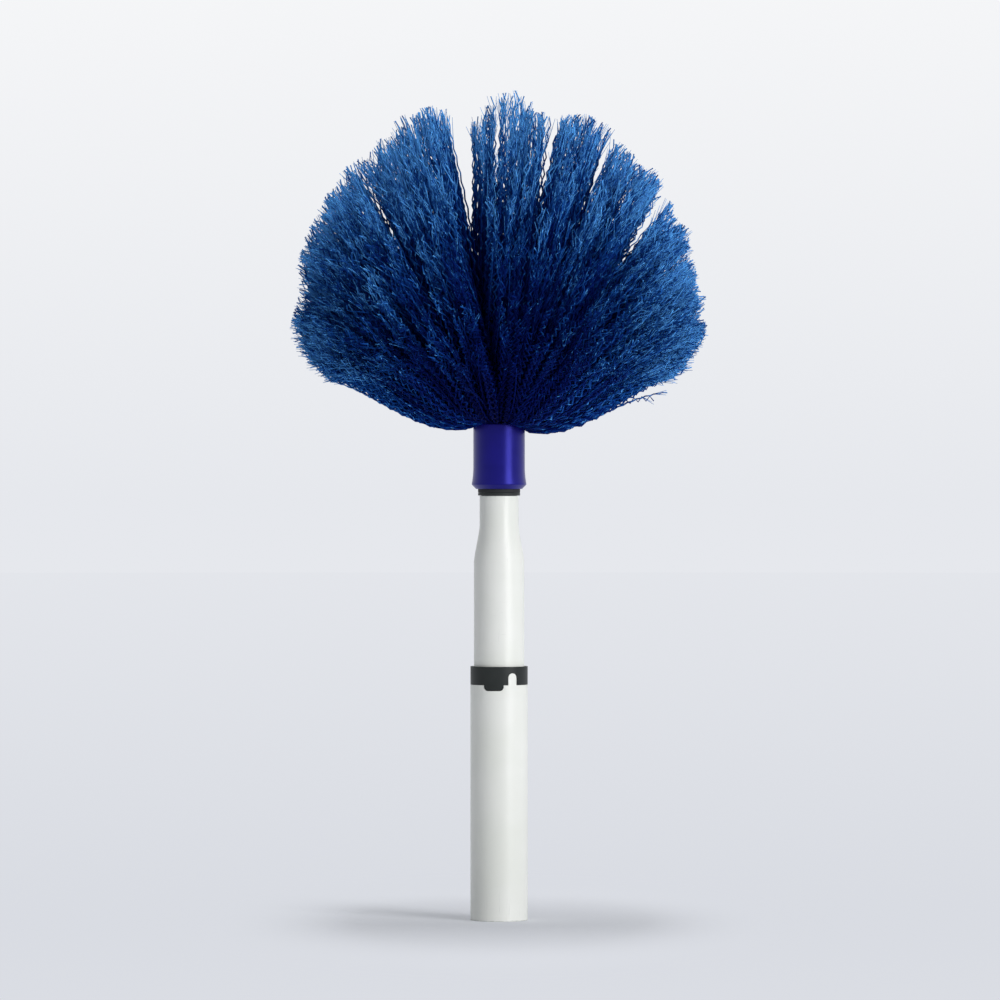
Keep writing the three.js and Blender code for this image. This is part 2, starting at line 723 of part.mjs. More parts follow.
// Finishes
const whitePaint = { color: 0xe4e6df, roughness: 0.35, metalness: 0 };
const blackPlastic = { color: 0x23282a, roughness: 0.5, metalness: 0 };
const blackRubber = { color: 0x1a1d1f, roughness: 0.75, metalness: 0 };
const indigoPlastic = { color: 0x1b1a78, roughness: 0.2, metalness: 0 };
const blueFilament = { color: 0x1f4c8e, roughness: 0.55, metalness: 0 };
const naturalNylon = { color: 0xd9d8ce, roughness: 0.5, metalness: 0 };
const zincSteel = { color: 0xb9bdc2, roughness: 0.35, metalness: 1 };

function piece(name, geometry, finish) {
  const mesh = new THREE.Mesh(geometry, new THREE.MeshStandardMaterial(finish));
  mesh.name = name;
  return mesh;
}

const lowerPole = new THREE.Group();
lowerPole.add(
  piece("lower_tube", lowerTube(), whitePaint),
  piece("guide_ring", guideRing(), blackPlastic),
  piece("end_plug", endPlug(), naturalNylon),
);

const upperPole = new THREE.Group();
upperPole.add(
  piece("upper_tube", upperTube(), whitePaint),
  piece("threaded_tip", threadedTip(), blackPlastic),
  piece("cam_spindle", camSpindle(), naturalNylon),
);

const lock = piece("lock_ring", lockRing(), naturalNylon);

const washerProfile = ringProfile(threadCore + THREAD_DEPTH + FIT_GAP, flangeRadius, washerFoot, washerTop);
const neckWasher = piece("neck_washer", revolve(washerProfile), blackRubber);

const coreWasherProfile = ringProfile(screwHole, CORE_WASHER_DIAMETER / 2, coreWasherFoot, coreWasherTop);
const head = new THREE.Group();
head.add(
  piece("collar", collar(), indigoPlastic),
  piece("spreader_core", spreaderCore(), naturalNylon),
  piece("core_screw", coreScrew(), zincSteel),
  piece("core_washer", revolve(coreWasherProfile, SMALL_SIDES), zincSteel),
  piece("binding_wire", bindingWire(), zincSteel),
);
for (let hank = 0; hank < HANK_COUNT; hank += 1) {
  head.add(piece(`bristle_hank_${hank + 1}`, bristleHank(hank), blueFilament));
}

const duster = new THREE.Group();
duster.add(lowerPole, lock, upperPole, neckWasher, head);

export default duster;
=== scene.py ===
# %% [markdown]
# A flick duster on a telescopic pole
#
# The duster is a round fan of crimped blue filaments in a glossy indigo collar. The collar screws on a
# white steel pole of two tubes, and a black guide ring keeps the inner tube steady in the outer one.
# The construction is already modelled and packed, so this lesson loads it as a fixed frame in metres.
# Every piece made here takes the place of one of its nodes and rides on the same moving body.

# %% Load the frame
import math

import bmesh
import bpy
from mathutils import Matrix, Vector


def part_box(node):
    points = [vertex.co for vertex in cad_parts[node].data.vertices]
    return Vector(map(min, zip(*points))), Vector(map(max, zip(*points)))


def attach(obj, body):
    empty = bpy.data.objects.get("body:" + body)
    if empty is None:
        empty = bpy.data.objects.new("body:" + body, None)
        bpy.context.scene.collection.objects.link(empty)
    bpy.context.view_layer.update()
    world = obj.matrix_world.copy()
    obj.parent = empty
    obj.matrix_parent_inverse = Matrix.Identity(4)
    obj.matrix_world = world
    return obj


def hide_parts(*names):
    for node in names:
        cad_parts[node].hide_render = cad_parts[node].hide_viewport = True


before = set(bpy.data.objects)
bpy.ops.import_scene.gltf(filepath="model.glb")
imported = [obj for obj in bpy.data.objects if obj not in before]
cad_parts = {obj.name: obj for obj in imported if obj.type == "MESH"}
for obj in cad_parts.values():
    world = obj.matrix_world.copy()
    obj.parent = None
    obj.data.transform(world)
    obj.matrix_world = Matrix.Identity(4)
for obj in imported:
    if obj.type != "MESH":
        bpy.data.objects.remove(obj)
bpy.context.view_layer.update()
MM = 0.001

# %% [markdown]
# The picture was taken level, from straight ahead and from far away, so upright edges stay upright and
# the foot shows as a straight line. A long lens at a few metres gives that. The lens follows from the
# width of the view at the pole's axis, which keeps the framing right if the distance is changed.

# %% Camera
VIEW_WIDTH = 0.4363
VIEW_CENTRE = Vector((0.0004, 0.0, 0.1832))
CAMERA_DISTANCE = 2.5

lens = bpy.data.cameras.new("camera")
lens.lens = lens.sensor_width * CAMERA_DISTANCE / VIEW_WIDTH
camera = bpy.data.objects.new("camera", lens)
camera.location = VIEW_CENTRE + Vector((0.0, -CAMERA_DISTANCE, 0.0))
camera.rotation_euler = (math.radians(90), 0.0, 0.0)
bpy.context.scene.collection.objects.link(camera)
bpy.context.scene.camera = camera
bpy.context.scene.view_settings.view_transform = "Standard"
print("lens in mm:", round(lens.lens, 1))

# %% [markdown]
# Geometry Nodes and shader nodes are both trees of small boxes. Placing each box and each link by hand
# hides the formula that they stand for. Here an output is wrapped in a `Wire`, and sums, products and
# powers of wires add Math or Vector Math nodes, so that a tree reads like the formula it computes.

# %% Wires
class Wire:
    """An output in a node tree. Arithmetic on wires adds the nodes that do it."""

    def __init__(self, tree, socket):
        self.tree = tree
        self.socket = socket

    def is_vector(self):
        return self.socket.type in ("VECTOR", "RGBA")

    def other(self, name):
        return Wire(self.tree, self.socket.node.outputs[name])

    def combine(self, operation, *values):
        vectors = [v for v in values if isinstance(v, Wire) and v.is_vector()]
        if not vectors:
            return place(self.tree, "ShaderNodeMath", *values, operation=operation)
        if operation == "MULTIPLY" and len(vectors) == 1:
            factor = next(v for v in values if v is not vectors[0])
            return place(self.tree, "ShaderNodeVectorMath", vectors[0], factor, operation="SCALE")
        return place(self.tree, "ShaderNodeVectorMath", *values, operation=operation)

    def __add__(self, value):
        return self.combine("ADD", self, value)

    def __sub__(self, value):
        return self.combine("SUBTRACT", self, value)

    def __rsub__(self, value):
        return self.combine("SUBTRACT", value, self)

    def __mul__(self, value):
        return self.combine("MULTIPLY", self, value)

    def __truediv__(self, value):
        return self.combine("DIVIDE", self, value)

    def __rtruediv__(self, value):
        return self.combine("DIVIDE", value, self)

    def __pow__(self, value):
        return self.combine("POWER", self, value)

    __radd__ = __add__
    __rmul__ = __mul__


print("wires do sums, differences, products, quotients and powers")


# %% Placing nodes
def place(tree, kind, *values, named=None, **settings):
    """Adds a node, fills its shown inputs in order or by name, and returns its first output."""
    node = tree.nodes.new(kind)
    for name, value in settings.items():
        setattr(node, name, value)
    shown = [socket for socket in node.inputs if socket.enabled]
    pairs = list(zip(shown, values))
    pairs += [(node.inputs[name], value) for name, value in (named or {}).items()]
    for socket, value in pairs:
        if isinstance(value, Wire):
            tree.links.new(value.socket, socket)
        elif value is not None:
            socket.default_value = value
    outputs = [socket for socket in node.outputs if socket.enabled]
    return Wire(tree, outputs[0]) if outputs else node


def call(operation, *values, kind="ShaderNodeMath"):
    """A function of one, two or three numbers, such as SINE, on wires."""
    tree = next(v.tree for v in values if isinstance(v, Wire))
    return place(tree, kind, *values, operation=operation)


def vector_call(operation, *values):
    """A function of vectors, such as LENGTH, on wires."""
    return call(operation, *values, kind="ShaderNodeVectorMath")


print("nodes can be placed by kind or called by operation")


# %% Formulas of nodes
def xyz(tree, x, y, z):
    return place(tree, "ShaderNodeCombineXYZ", x, y, z)


def parts_of(vector):
    split = place(vector.tree, "ShaderNodeSeparateXYZ", vector)
    return [split.other(axis) for axis in "XYZ"]


def between(low, high, share):
    return low + (high - low) * share


def eased(value, start, end):
    """0 up to start, 1 from end on, with a soft step between them."""
    soft = {"interpolation_type": "SMOOTHSTEP"}
    return place(value.tree, "ShaderNodeMapRange", value, start, end, 0.0, 1.0, **soft)


def ramp(value, stops):
    """A colour that follows a number, from stops of (place, colour)."""
    colour = place(value.tree, "ShaderNodeValToRGB", value)
    band = colour.socket.node.color_ramp
    while len(band.elements) < len(stops):
        band.elements.new(1.0)
    for element, (position, shade) in zip(band.elements, stops):
        element.position = position
        element.color = shade
    return colour


print("formulas ready: vectors, blends, soft steps and colour ramps")

# %% [markdown]
# The light is a plain studio. A tall soft box stands to the right of the camera and reaches down to the
# level of the object, because an upright glossy cylinder only mirrors what stands level with it: the
# collar shows one upright streak. A second box hangs overhead, a little behind the object. It is narrow
# from side to side and deep from front to back. Point lamps would be simpler, but their streaks are thin
# and their shadows hard.

# %% Lamps
LIGHT_TARGET = Vector((0.0, 0.0, 0.2))
KEY_POWER = 27.0
KEY_SIZE = (0.85, 1.7)
KEY_TURN = math.radians(44)
KEY_DISTANCE = 1.9
KEY_HEIGHT = 0.75
TOP_POWER = 15.0
TOP_SIZE = (0.45, 1.2)
TOP_PLACE = (0.0, 0.18, 1.9)


def soft_box(name, power, size, location):
    """A rectangular lamp that faces the object."""
    data = bpy.data.lights.new(name, "AREA")
    data.shape = "RECTANGLE"
    data.size, data.size_y = size
    data.energy = power
    lamp = bpy.data.objects.new(name, data)
    lamp.location = location
    lamp.rotation_euler = (LIGHT_TARGET - Vector(location)).to_track_quat("-Z", "Y").to_euler()
    bpy.context.scene.collection.objects.link(lamp)


key_place = (KEY_DISTANCE * math.sin(KEY_TURN), -KEY_DISTANCE * math.cos(KEY_TURN), KEY_HEIGHT)
soft_box("key_box", KEY_POWER, KEY_SIZE, key_place)
soft_box("top_box", TOP_POWER, TOP_SIZE, TOP_PLACE)

# %% [markdown]
# The backdrop is pale and gets paler upwards. If it also lit the object, it would wash out the shaded
# side. So only rays that show the backdrop see it, from the camera, a mirror or glass, and all others get
# a weaker grey fill. The Light Path node tells these rays apart.

# %% Surround
BACKDROP_LOW = (0.79, 0.806, 0.846, 1.0)
BACKDROP_HIGH = (0.915, 0.922, 0.937, 1.0)
BACKDROP_RISE = 0.09
FILL_COLOUR = (0.97, 0.985, 1.0, 1.0)
FILL_LEVEL = 0.31


def seen_directly(tree):
    """1 for rays that show the background: camera, mirror and glass rays."""
    rays = place(tree, "ShaderNodeLightPath")
    sharp = call("MAXIMUM", rays.other("Is Glossy Ray"), rays.other("Is Transmission Ray"))
    return call("MAXIMUM", rays.other("Is Camera Ray"), sharp)


world = bpy.data.worlds.new("studio")
bpy.context.scene.world = world
world.use_nodes = True
tree = world.node_tree
tree.nodes.clear()
height = parts_of(place(tree, "ShaderNodeTexCoord"))[2]
backdrop = ramp(height / BACKDROP_RISE, [(0.0, BACKDROP_LOW), (1.0, BACKDROP_HIGH)])
shown = place(tree, "ShaderNodeBackground", backdrop, 1.0)
fill = place(tree, "ShaderNodeBackground", FILL_COLOUR, FILL_LEVEL)
mixed = place(tree, "ShaderNodeMixShader", seen_directly(tree), fill, shown)
place(tree, "ShaderNodeOutputWorld", mixed)
print("fill level:", FILL_LEVEL)

# %% [markdown]
# The floor takes the soft shadow at the foot. A lit plane never quite meets the colour of the backdrop,
# so away from the foot the paper fades to a plain glow in the backdrop's own colours and no edge shows.
# The fade is longer from front to back than to the sides, because the camera sees the floor at a slant.
# A little of the glow stays everywhere, which keeps the shadow light.

# %% Floor paper
FLOOR_COLOUR = (0.825, 0.845, 0.893, 1.0)
FLOOR_NEAR = (0.687, 0.708, 0.76, 1.0)
FADE_START = 0.03
FADE_END = 0.13
FADE_SQUEEZE = (1.0, 0.42, 1.0)
FLOOR_GLOW = 0.25


def object_point(tree):
    return place(tree, "ShaderNodeTexCoord").other("Object")


paper = bpy.data.materials.new("floor_paper")
paper.use_nodes = True
tree = paper.node_tree
tree.nodes.clear()
point = object_point(tree)
distance = vector_call("LENGTH", point).other("Value")
spread = vector_call("LENGTH", vector_call("MULTIPLY", point, FADE_SQUEEZE)).other("Value")
nearness = CAMERA_DISTANCE / (CAMERA_DISTANCE + distance)
lit = place(tree, "ShaderNodeBsdfDiffuse", FLOOR_COLOUR)
plain = place(tree, "ShaderNodeEmission", ramp(nearness, [(0.0, BACKDROP_LOW), (1.0, FLOOR_NEAR)]), 1.0)
far = call("MAXIMUM", eased(spread, FADE_START, FADE_END), FLOOR_GLOW) * seen_directly(tree)
place(tree, "ShaderNodeOutputMaterial", place(tree, "ShaderNodeMixShader", far, lit, plain))
print("made", paper.name)

# %% Floor
FLOOR_RADIUS = 12.0
FLOOR_SIDES = 96

disc = bmesh.new()
bmesh.ops.create_circle(disc, cap_ends=True, radius=FLOOR_RADIUS, segments=FLOOR_SIDES)
floor_mesh = bpy.data.meshes.new("floor")
disc.to_mesh(floor_mesh)
disc.free()
floor_mesh.materials.append(paper)
floor = bpy.data.objects.new("floor", floor_mesh)
bpy.context.scene.collection.objects.link(floor)
print("floor radius in m:", FLOOR_RADIUS)

# %% [markdown]
# Every surface here has been handled, so several finishes need the same effects: a fine grain, rub marks
# and a rubbed band near an edge. They could be drawn anew in each material, but a node group with named
# inputs is built once and placed with other values. A group only puts out numbers that change over the
# surface, and the shader itself stays in each material.

# %% Node groups
NUMBER = "NodeSocketFloat"
WHOLE_NUMBER = "NodeSocketInt"
SHADER_TREE = "ShaderNodeTree"


def new_group(kind, name, inputs, outputs, output_kind=NUMBER):
    """A node group whose named inputs have default values, and a wire from each input."""
    group = bpy.data.node_groups.new(name, kind)
    for title in outputs:
        group.interface.new_socket(title, in_out="OUTPUT", socket_type=output_kind)
    for title, value in inputs.items():
        socket_type = WHOLE_NUMBER if isinstance(value, int) else NUMBER
        socket = group.interface.new_socket(title, in_out="INPUT", socket_type=socket_type)
        socket.default_value = value
    given = place(group, "NodeGroupInput")
    return group, {title: given.other(title) for title in inputs}


def noise(point, scale, detail, stretch=None):
    """A smooth random pattern at a point, stretched along the axes where that is given."""
    if stretch:
        point = vector_call("MULTIPLY", point, stretch)
    named = {"Vector": point, "Scale": scale, "Detail": detail}
    return place(point.tree, "ShaderNodeTexNoise", named=named)


print("groups can be made for shaders and for geometry")

# %% Fine grain
PATCH_SIZE = 24.0
PATCH_EDGE = (0.3, 0.7)

grain_inputs = {"Per Metre": 900.0, "Detail": 3.0}
grain_group, given = new_group(SHADER_TREE, "fine_grain", grain_inputs, ["Height", "Tone"])
point = object_point(grain_group)
relief = noise(point, given["Per Metre"], given["Detail"])
patches = noise(point, given["Per Metre"] / PATCH_SIZE, detail=2.0)
place(grain_group, "NodeGroupOutput", relief, eased(patches, *PATCH_EDGE))
print("made the group", grain_group.name)

# %% Rub marks
ALONG_POLE = (9.0, 9.0, 0.35)
ROUND_POLE = (1.0, 1.0, 16.0)
STREAK_EDGE = (0.62, 0.72)
RING_EDGE = (0.66, 0.76)
RING_SHARE = 0.6
HANDLED_SIZE = 9.0
HANDLED_EDGE = (0.45, 0.7)

marks_group, given = new_group(SHADER_TREE, "rub_marks", {"Per Metre": 160.0, "Amount": 0.5}, ["Mask"])
point = object_point(marks_group)
streaks = eased(noise(point, given["Per Metre"], detail=4.0, stretch=ALONG_POLE), *STREAK_EDGE)
rings = eased(noise(point, given["Per Metre"], detail=3.0, stretch=ROUND_POLE), *RING_EDGE)
handled = eased(noise(point, given["Per Metre"] / HANDLED_SIZE, detail=2.0), *HANDLED_EDGE)
scratches = call("MAXIMUM", streaks, rings * RING_SHARE)
place(marks_group, "NodeGroupOutput", scratches * handled * given["Amount"])
print("made the group", marks_group.name)

# %% Rubbed band
RAGGED_PER_METRE = 700.0
RAGGED_SHARE = 1.5
BAND_EDGE = (0.3, 1.0)

band_group, given = new_group(SHADER_TREE, "rubbed_band", {"Level": 0.0, "Width": 0.001}, ["Mask"])
point = object_point(band_group)
away = call("ABSOLUTE", parts_of(point)[2] - given["Level"]) / given["Width"]
ragged = away + (noise(point, RAGGED_PER_METRE, detail=4.0) - 0.5) * RAGGED_SHARE
place(band_group, "NodeGroupOutput", 1.0 - eased(ragged, *BAND_EDGE))
print("made the group", band_group.name)

# %% [markdown]
# A material here is one Principled shader. What is the same all over is set on the shader's own sockets,
# and what changes over the surface is linked to them. Colours are written as they look on screen, because
# that is how one reads them from a picture.

# %% Helpers for materials
def shader_input(material, title):
    """An input of a material's Principled shader, by its name with _ for a space."""
    return material.node_tree.nodes["Principled BSDF"].inputs[title.replace("_", " ")]


def finish(name, **constants):
    """A new material with one Principled shader, whose inputs have these constants."""
    material = bpy.data.materials.new(name)
    material.use_nodes = True
    for title, value in constants.items():
        shader_input(material, title).default_value = value
    return material


def feed(material, **wires):
    """Links wires to the inputs of a material's shader, in place of what fed them before."""
    for title, wire in wires.items():
        material.node_tree.links.new(wire.socket, shader_input(material, title))


def fed(material, title):
    """The wire that feeds an input of a material's shader."""
    return Wire(material.node_tree, shader_input(material, title).links[0].from_socket)


def srgb(red, green, blue):
    """A colour written as it looks on screen, from 0 to 255, as the linear values that shaders use."""
    def linear(value):
        share = value / 255
        return share / 12.92 if share <= 0.04045 else ((share + 0.055) / 1.055) ** 2.4

    return (linear(red), linear(green), linear(blue), 1.0)


print("mid grey on screen is", round(srgb(128, 128, 128)[0], 3), "in a shader")

# %% [markdown]
# Most of the finishes follow one recipe. The grain gives a very low bump, two near tones lie in patches,
# and rub marks change the colour and the gloss. Bump is enough, because relief this small never shows at
# an outline. One function takes the values in which the finishes differ.

# %% A worn surface
def group_output(tree, group, output, **values):
    """An output of a shared group in a material. Values go by input name, with _ for a space."""
    named = {title.replace("_", " "): value for title, value in values.items()}
    return place(tree, "ShaderNodeGroup", node_tree=group, named=named).other(output)


def mixed_colour(share, first, second):
    return place(share.tree, "ShaderNodeMix", share, first, second, data_type="RGBA")


def bump(height, strength, distance):
    named = {"Height": height, "Strength": strength, "Distance": distance}
    return place(height.tree, "ShaderNodeBump", named=named)


def worn_surface(name, tones, patches, grain, relief, roughness, marks=None, worn_and_lit=None, **constants):
    """A finish of two tones in patches on a grained relief, with rub marks where they are given.

    Relief is the strength and height of the bump. Roughness is the least one and what patches add to it.
    Worn is the colour of the marks and the roughness that they add.
    """
    material = finish(name, **constants)
    tree = material.node_tree
    height = group_output(tree, grain_group, "Height", **grain)
    patchy = group_output(tree, grain_group, "Tone", Per_Metre=patches)
    colour = mixed_colour(patchy, *tones)
    rough = roughness[0] + patchy * roughness[1]
    if marks:
        rubbed = group_output(tree, marks_group, "Mask", **marks)
        colour = mixed_colour(rubbed, colour, worn_and_lit[0])
        rough = rough + rubbed * worn_and_lit[1]
    feed(material, Base_Color=colour, Roughness=rough, Normal=bump(height, *relief))
    return material


print("groups for worn surfaces:", grain_group.name, "and", marks_group.name)

# %% [markdown]
# The tubes are thin steel with a smooth, slightly warm white coat. Sprayed paint dries with a faint
# orange peel, so a very low bump breaks up the reflections. Sliding leaves greyish streaks along the pole
# and the cut foot is rubbed down to the metal. Each tube has its foot at another level, so the finish is a
# function of that level.

# %% Painted tube finish
CUT_EDGE_WIDTH = 0.5 * MM
BARE_SHARE = 0.5
BARE_METAL = 0.6
BARE_STEEL = srgb(150, 150, 148)


def white_paint(name, foot_level):
    """White paint that is rubbed thin at the level of a tube's foot, in mm."""
    material = worn_surface(
        name,
        tones=(srgb(232, 234, 227), srgb(238, 239, 234)),
        patches=900.0,
        grain={"Per_Metre": 1400.0, "Detail": 2.0},
        relief=(0.12, 0.05 * MM),
        roughness=(0.30, 0.06),
        marks={"Per_Metre": 170.0, "Amount": 0.55},
        worn_and_lit=(srgb(196, 198, 194), 0.2),
        IOR=1.48,
    )
    coat = fed(material, "Base Color")
    band = group_output(coat.tree, band_group, "Mask", Level=foot_level * MM, Width=CUT_EDGE_WIDTH)
    bare = band * BARE_SHARE
    feed(material, Base_Color=mixed_colour(bare, coat, BARE_STEEL), Metallic=bare * BARE_METAL)
    return material


print("rubbed band at a tube's foot in mm:", CUT_EDGE_WIDTH / MM)

# %% [markdown]
# The guide ring and the threaded tip are moulded in black plastic with a satin grain. It is never quite
# black: it is a dark grey with a hint of green, and rub marks on it turn paler. A low specular level keeps
# the pale surroundings from greying it.

# %% Black plastic finish
moulding = worn_surface(
    "black_moulding",
    tones=(srgb(31, 35, 35), srgb(41, 45, 44)),
    patches=2000.0,
    grain={"Per_Metre": 2600.0, "Detail": 3.0},
    relief=(0.25, 0.05 * MM),
    roughness=(0.42, 0.1),
    marks={"Per_Metre": 260.0, "Amount": 0.8},
    worn_and_lit=(srgb(78, 82, 80), 0.15),
    IOR=1.5,
    Specular_IOR_Level=0.25,
)
print("made", moulding.name)

# %% [markdown]
# The washer is black rubber, softer and duller than the mouldings. A coarse, strong grain and a high
# roughness make it look dry. It lies between two faces and is hardly rubbed, so it has no marks.

# %% Rubber finish
rubber = worn_surface(
    "black_rubber",
    tones=(srgb(22, 24, 26), srgb(34, 35, 37)),
    patches=3000.0,
    grain={"Per_Metre": 3600.0, "Detail": 4.0},
    relief=(0.35, 0.05 * MM),
    roughness=(0.68, 0.14),
    IOR=1.45,
)
print("made", rubber.name)

# %% [markdown]
# The collar is an injection moulding in a deep indigo with a soft gloss. Its colour is nearly even, with
# slow swirls from the flow of the plastic. Most of its look is the upright reflection of the tall soft box.
# A middling roughness widens that streak, a blue specular tint keeps it from turning grey, and the bump is
# only a faint waviness.

# %% Collar finish
collar_gloss = worn_surface(
    "indigo_collar",
    tones=(srgb(15, 12, 92), srgb(20, 16, 104)),
    patches=2600.0,
    grain={"Per_Metre": 420.0, "Detail": 1.0},
    relief=(0.08, 0.2 * MM),
    roughness=(0.28, 0.05),
    marks={"Per_Metre": 300.0, "Amount": 0.5},
    worn_and_lit=(srgb(62, 62, 150), 0.2),
    IOR=1.5,
    Specular_IOR_Level=1.0,
    Specular_Tint=(0.14, 0.14, 1.0, 1.0),
)
print("made", collar_gloss.name)

# %% [markdown]
# The core, the lock and the end plug are natural nylon, an ivory, slightly waxy plastic. The waxy look is
# light that enters and comes out close by, which the subsurface inputs give over about a millimetre.

# %% Nylon finish
nylon = worn_surface(
    "natural_nylon",
    tones=(srgb(216, 213, 200), srgb(228, 225, 213)),
    patches=1500.0,
    grain={"Per_Metre": 1800.0, "Detail": 2.0},
    relief=(0.15, 0.05 * MM),
    roughness=(0.4, 0.1),
    IOR=1.53,
    Subsurface_Weight=0.15,
    Subsurface_Radius=(1.2 * MM, 0.9 * MM, 0.6 * MM),
)
print("made", nylon.name)

# %% [markdown]
# The screw, its washer and the binding wire are zinc-plated steel. Metal is all gloss, with no colour
# beneath it, so the same recipe runs with the Metallic input at 1. These pieces hide inside the head,
# but they are real pieces of the part.

# %% Zinc finish
zinc = worn_surface(
    "zinc_steel",
    tones=(srgb(176, 180, 186), srgb(196, 199, 203)),
    patches=1800.0,
    grain={"Per_Metre": 2400.0, "Detail": 4.0},
    relief=(0.1, 0.03 * MM),
    roughness=(0.28, 0.12),
    marks={"Per_Metre": 320.0, "Amount": 0.8},
    worn_and_lit=(srgb(140, 142, 146), 0.2),
    Metallic=1.0,
)
print("made", zinc.name)

# %% [markdown]
# The filaments are translucent blue plastic. Near the collar they lie deep in each other's shade, and the
# colour ramp paints that shade in: there they are navy. Towards the tips they are split and worn, which
# scatters light, so they turn a paler sky blue. The colour follows two attributes that the Geometry Nodes
# tree below stores on each strand: how worn it is at a point, with painted light and shade added, and a
# tone of its own that makes every strand a little different. Flecks are noise in space, and so are the pale
# motes, which are painted sparkle of highlights.

# %% Filament finish
# The dark stops near 0 paint the shade that lies deep among the strands near the collar.
FILAMENT_STOPS = [
    (0.0, srgb(4, 9, 62)),
    (0.35, srgb(6, 20, 90)),
    (0.6, srgb(12, 40, 116)),
    (0.82, srgb(28, 86, 164)),
    (1.0, srgb(90, 166, 236)),
]
FILAMENT_SHEEN = (0.25, 0.5, 1.0, 1.0)
FLECKS_PER_METRE = 300.0
SPARKLES_PER_METRE = 420.0
SPARKLE_EDGE = (0.60, 0.72)
TONE_SHARE = 0.22
FLECK_SHARE = 0.5
SPARKLE_SHARE = 0.24
DIMMEST_TONE = 0.72
TONE_RANGE = 0.5
LEAST_ROUGHNESS = 0.40
FLECK_ROUGHNESS = 0.2

filament = finish("blue_filament", IOR=1.5, Specular_IOR_Level=0.01, Specular_Tint=FILAMENT_SHEEN)
tree = filament.node_tree
# This attribute is the strand's wear with painted light and shade added.
wear = place(tree, "ShaderNodeAttribute", attribute_name="wear").other("Fac")
tone = place(tree, "ShaderNodeAttribute", attribute_name="tone").other("Fac")
fleck = noise(object_point(tree), FLECKS_PER_METRE, detail=3.0)
# The pale motes are painted sparkle, as of highlights on the crimp.
sparkles = eased(noise(object_point(tree), SPARKLES_PER_METRE, detail=1.0), *SPARKLE_EDGE)
worn_and_lit = wear + (tone - 0.5) * TONE_SHARE + (fleck - 0.5) * FLECK_SHARE + sparkles * SPARKLE_SHARE
colour = ramp(worn_and_lit, FILAMENT_STOPS) * (DIMMEST_TONE + tone * TONE_RANGE)
feed(filament, Base_Color=colour, Roughness=LEAST_ROUGHNESS + fleck * FLECK_ROUGHNESS)
print("made", filament.name)

# %% [markdown]
# Most rigid pieces are bodies of revolution, so each is an outline of corners turned round the pole's
# axis. A modelled part has no perfectly sharp edge: every corner of an outline carries the radius of the
# arc that rounds it, and those small arcs are what catch the light along the rims. A Bevel modifier could
# round them too, but not each by its own radius. A holding point on each side of an arc keeps its shading
# off the long faces beside it.

# %% Outlines
ARC_STEPS = 4
HOLD_SHARE = 1.3
TINY_ROUND = 0.1
FINE_ROUND = 0.2
SOFT_ROUND = 0.3
FULL_ROUND = 0.4


def rounded(corners):
    """A closed outline of (radius, height) points from corners of (radius, height, rounding)."""
    points = []
    for i, (across, height, size) in enumerate(corners):
        here = Vector((across, height))
        before = Vector(corners[i - 1][:2]) - here
        after = Vector(corners[(i + 1) % len(corners)][:2]) - here
        if size <= 0 or before.length == 0 or after.length == 0:
            points.append(here)
            continue
        half = before.angle(after) / 2
        room = min(before.length, after.length) / 2 / HOLD_SHARE
        cut = min(size / math.tan(half), room)
        start = here + before.normalized() * cut
        end = here + after.normalized() * cut
        points.append(here.lerp(start, HOLD_SHARE))
        for step in range(ARC_STEPS + 1):
            share = step / ARC_STEPS
            points.append(start.lerp(here, share).lerp(here.lerp(end, share), share))
        points.append(here.lerp(end, HOLD_SHARE))
    return points


print("points in a rounded corner:", ARC_STEPS + 3)

# %% Turning
ROUND_SIDES = 128
ON_AXIS = 1e-6


def turned(outline, sides):
    """Vertices and faces of a closed outline turned round the axis. Points on the axis are poles."""
    places, faces, rings = [], [], []
    for across, height in outline:
        if across < ON_AXIS:
            rings.append([len(places)] * sides)
            places.append((0.0, 0.0, height))
            continue
        rings.append(list(range(len(places), len(places) + sides)))
        for side in range(sides):
            angle = math.tau * side / sides
            places.append((across * math.cos(angle), across * math.sin(angle), height))
    for ring, following in zip(rings, rings[1:] + rings[:1]):
        for side in range(sides):
            after = (side + 1) % sides
            corners = [ring[side], ring[after], following[after], following[side]]
            face = list(dict.fromkeys(corners))
            if len(face) > 2:
                faces.append(face)
    return places, faces


print("sides of a round piece:", ROUND_SIDES)

# %% Pieces
SHARP_ANGLE = math.radians(38)
WELD = 0.0005


def piece(name, places, faces, material, crease=SHARP_ANGLE):
    """A new object at the origin, with its faces turned outwards. Places are in mm."""
    mesh = bpy.data.meshes.new(name)
    mesh.from_pydata([Vector(p) * MM for p in places], [], faces)
    shape = bmesh.new()
    shape.from_mesh(mesh)
    bmesh.ops.remove_doubles(shape, verts=shape.verts, dist=WELD * MM)
    bmesh.ops.recalc_face_normals(shape, faces=shape.faces)
    shape.to_mesh(mesh)
    shape.free()
    mesh.materials.append(material)
    mesh.shade_smooth()
    mesh.set_sharp_from_angle(angle=crease)
    made = bpy.data.objects.new(name, mesh)
    bpy.context.scene.collection.objects.link(made)
    print(name, "faces:", len(mesh.polygons))
    return made


def turned_piece(name, corners, material, sides=ROUND_SIDES):
    return piece(name, *turned(rounded(corners), sides), material)


def stands_for(made, body, slot, *nodes):
    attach(made, body)
    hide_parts(*nodes)


print("edges sharper than", round(math.degrees(SHARP_ANGLE)), "degrees stay crisp")

# %% [markdown]
# Sizes that two pieces share come from the frame, so a new frame moves the pieces along. Each node's box
# gives its foot, its top and its radius.

# %% Heights and radii
TUBE_WALL = 0.5
CUT_ROUNDING = 0.12


def levels(node):
    """The foot and the top of a node of the frame, in mm."""
    low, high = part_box(node)
    return low.z / MM, high.z / MM


def outer_radius(node):
    low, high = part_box(node)
    return (high.x - low.x) / 2 / MM


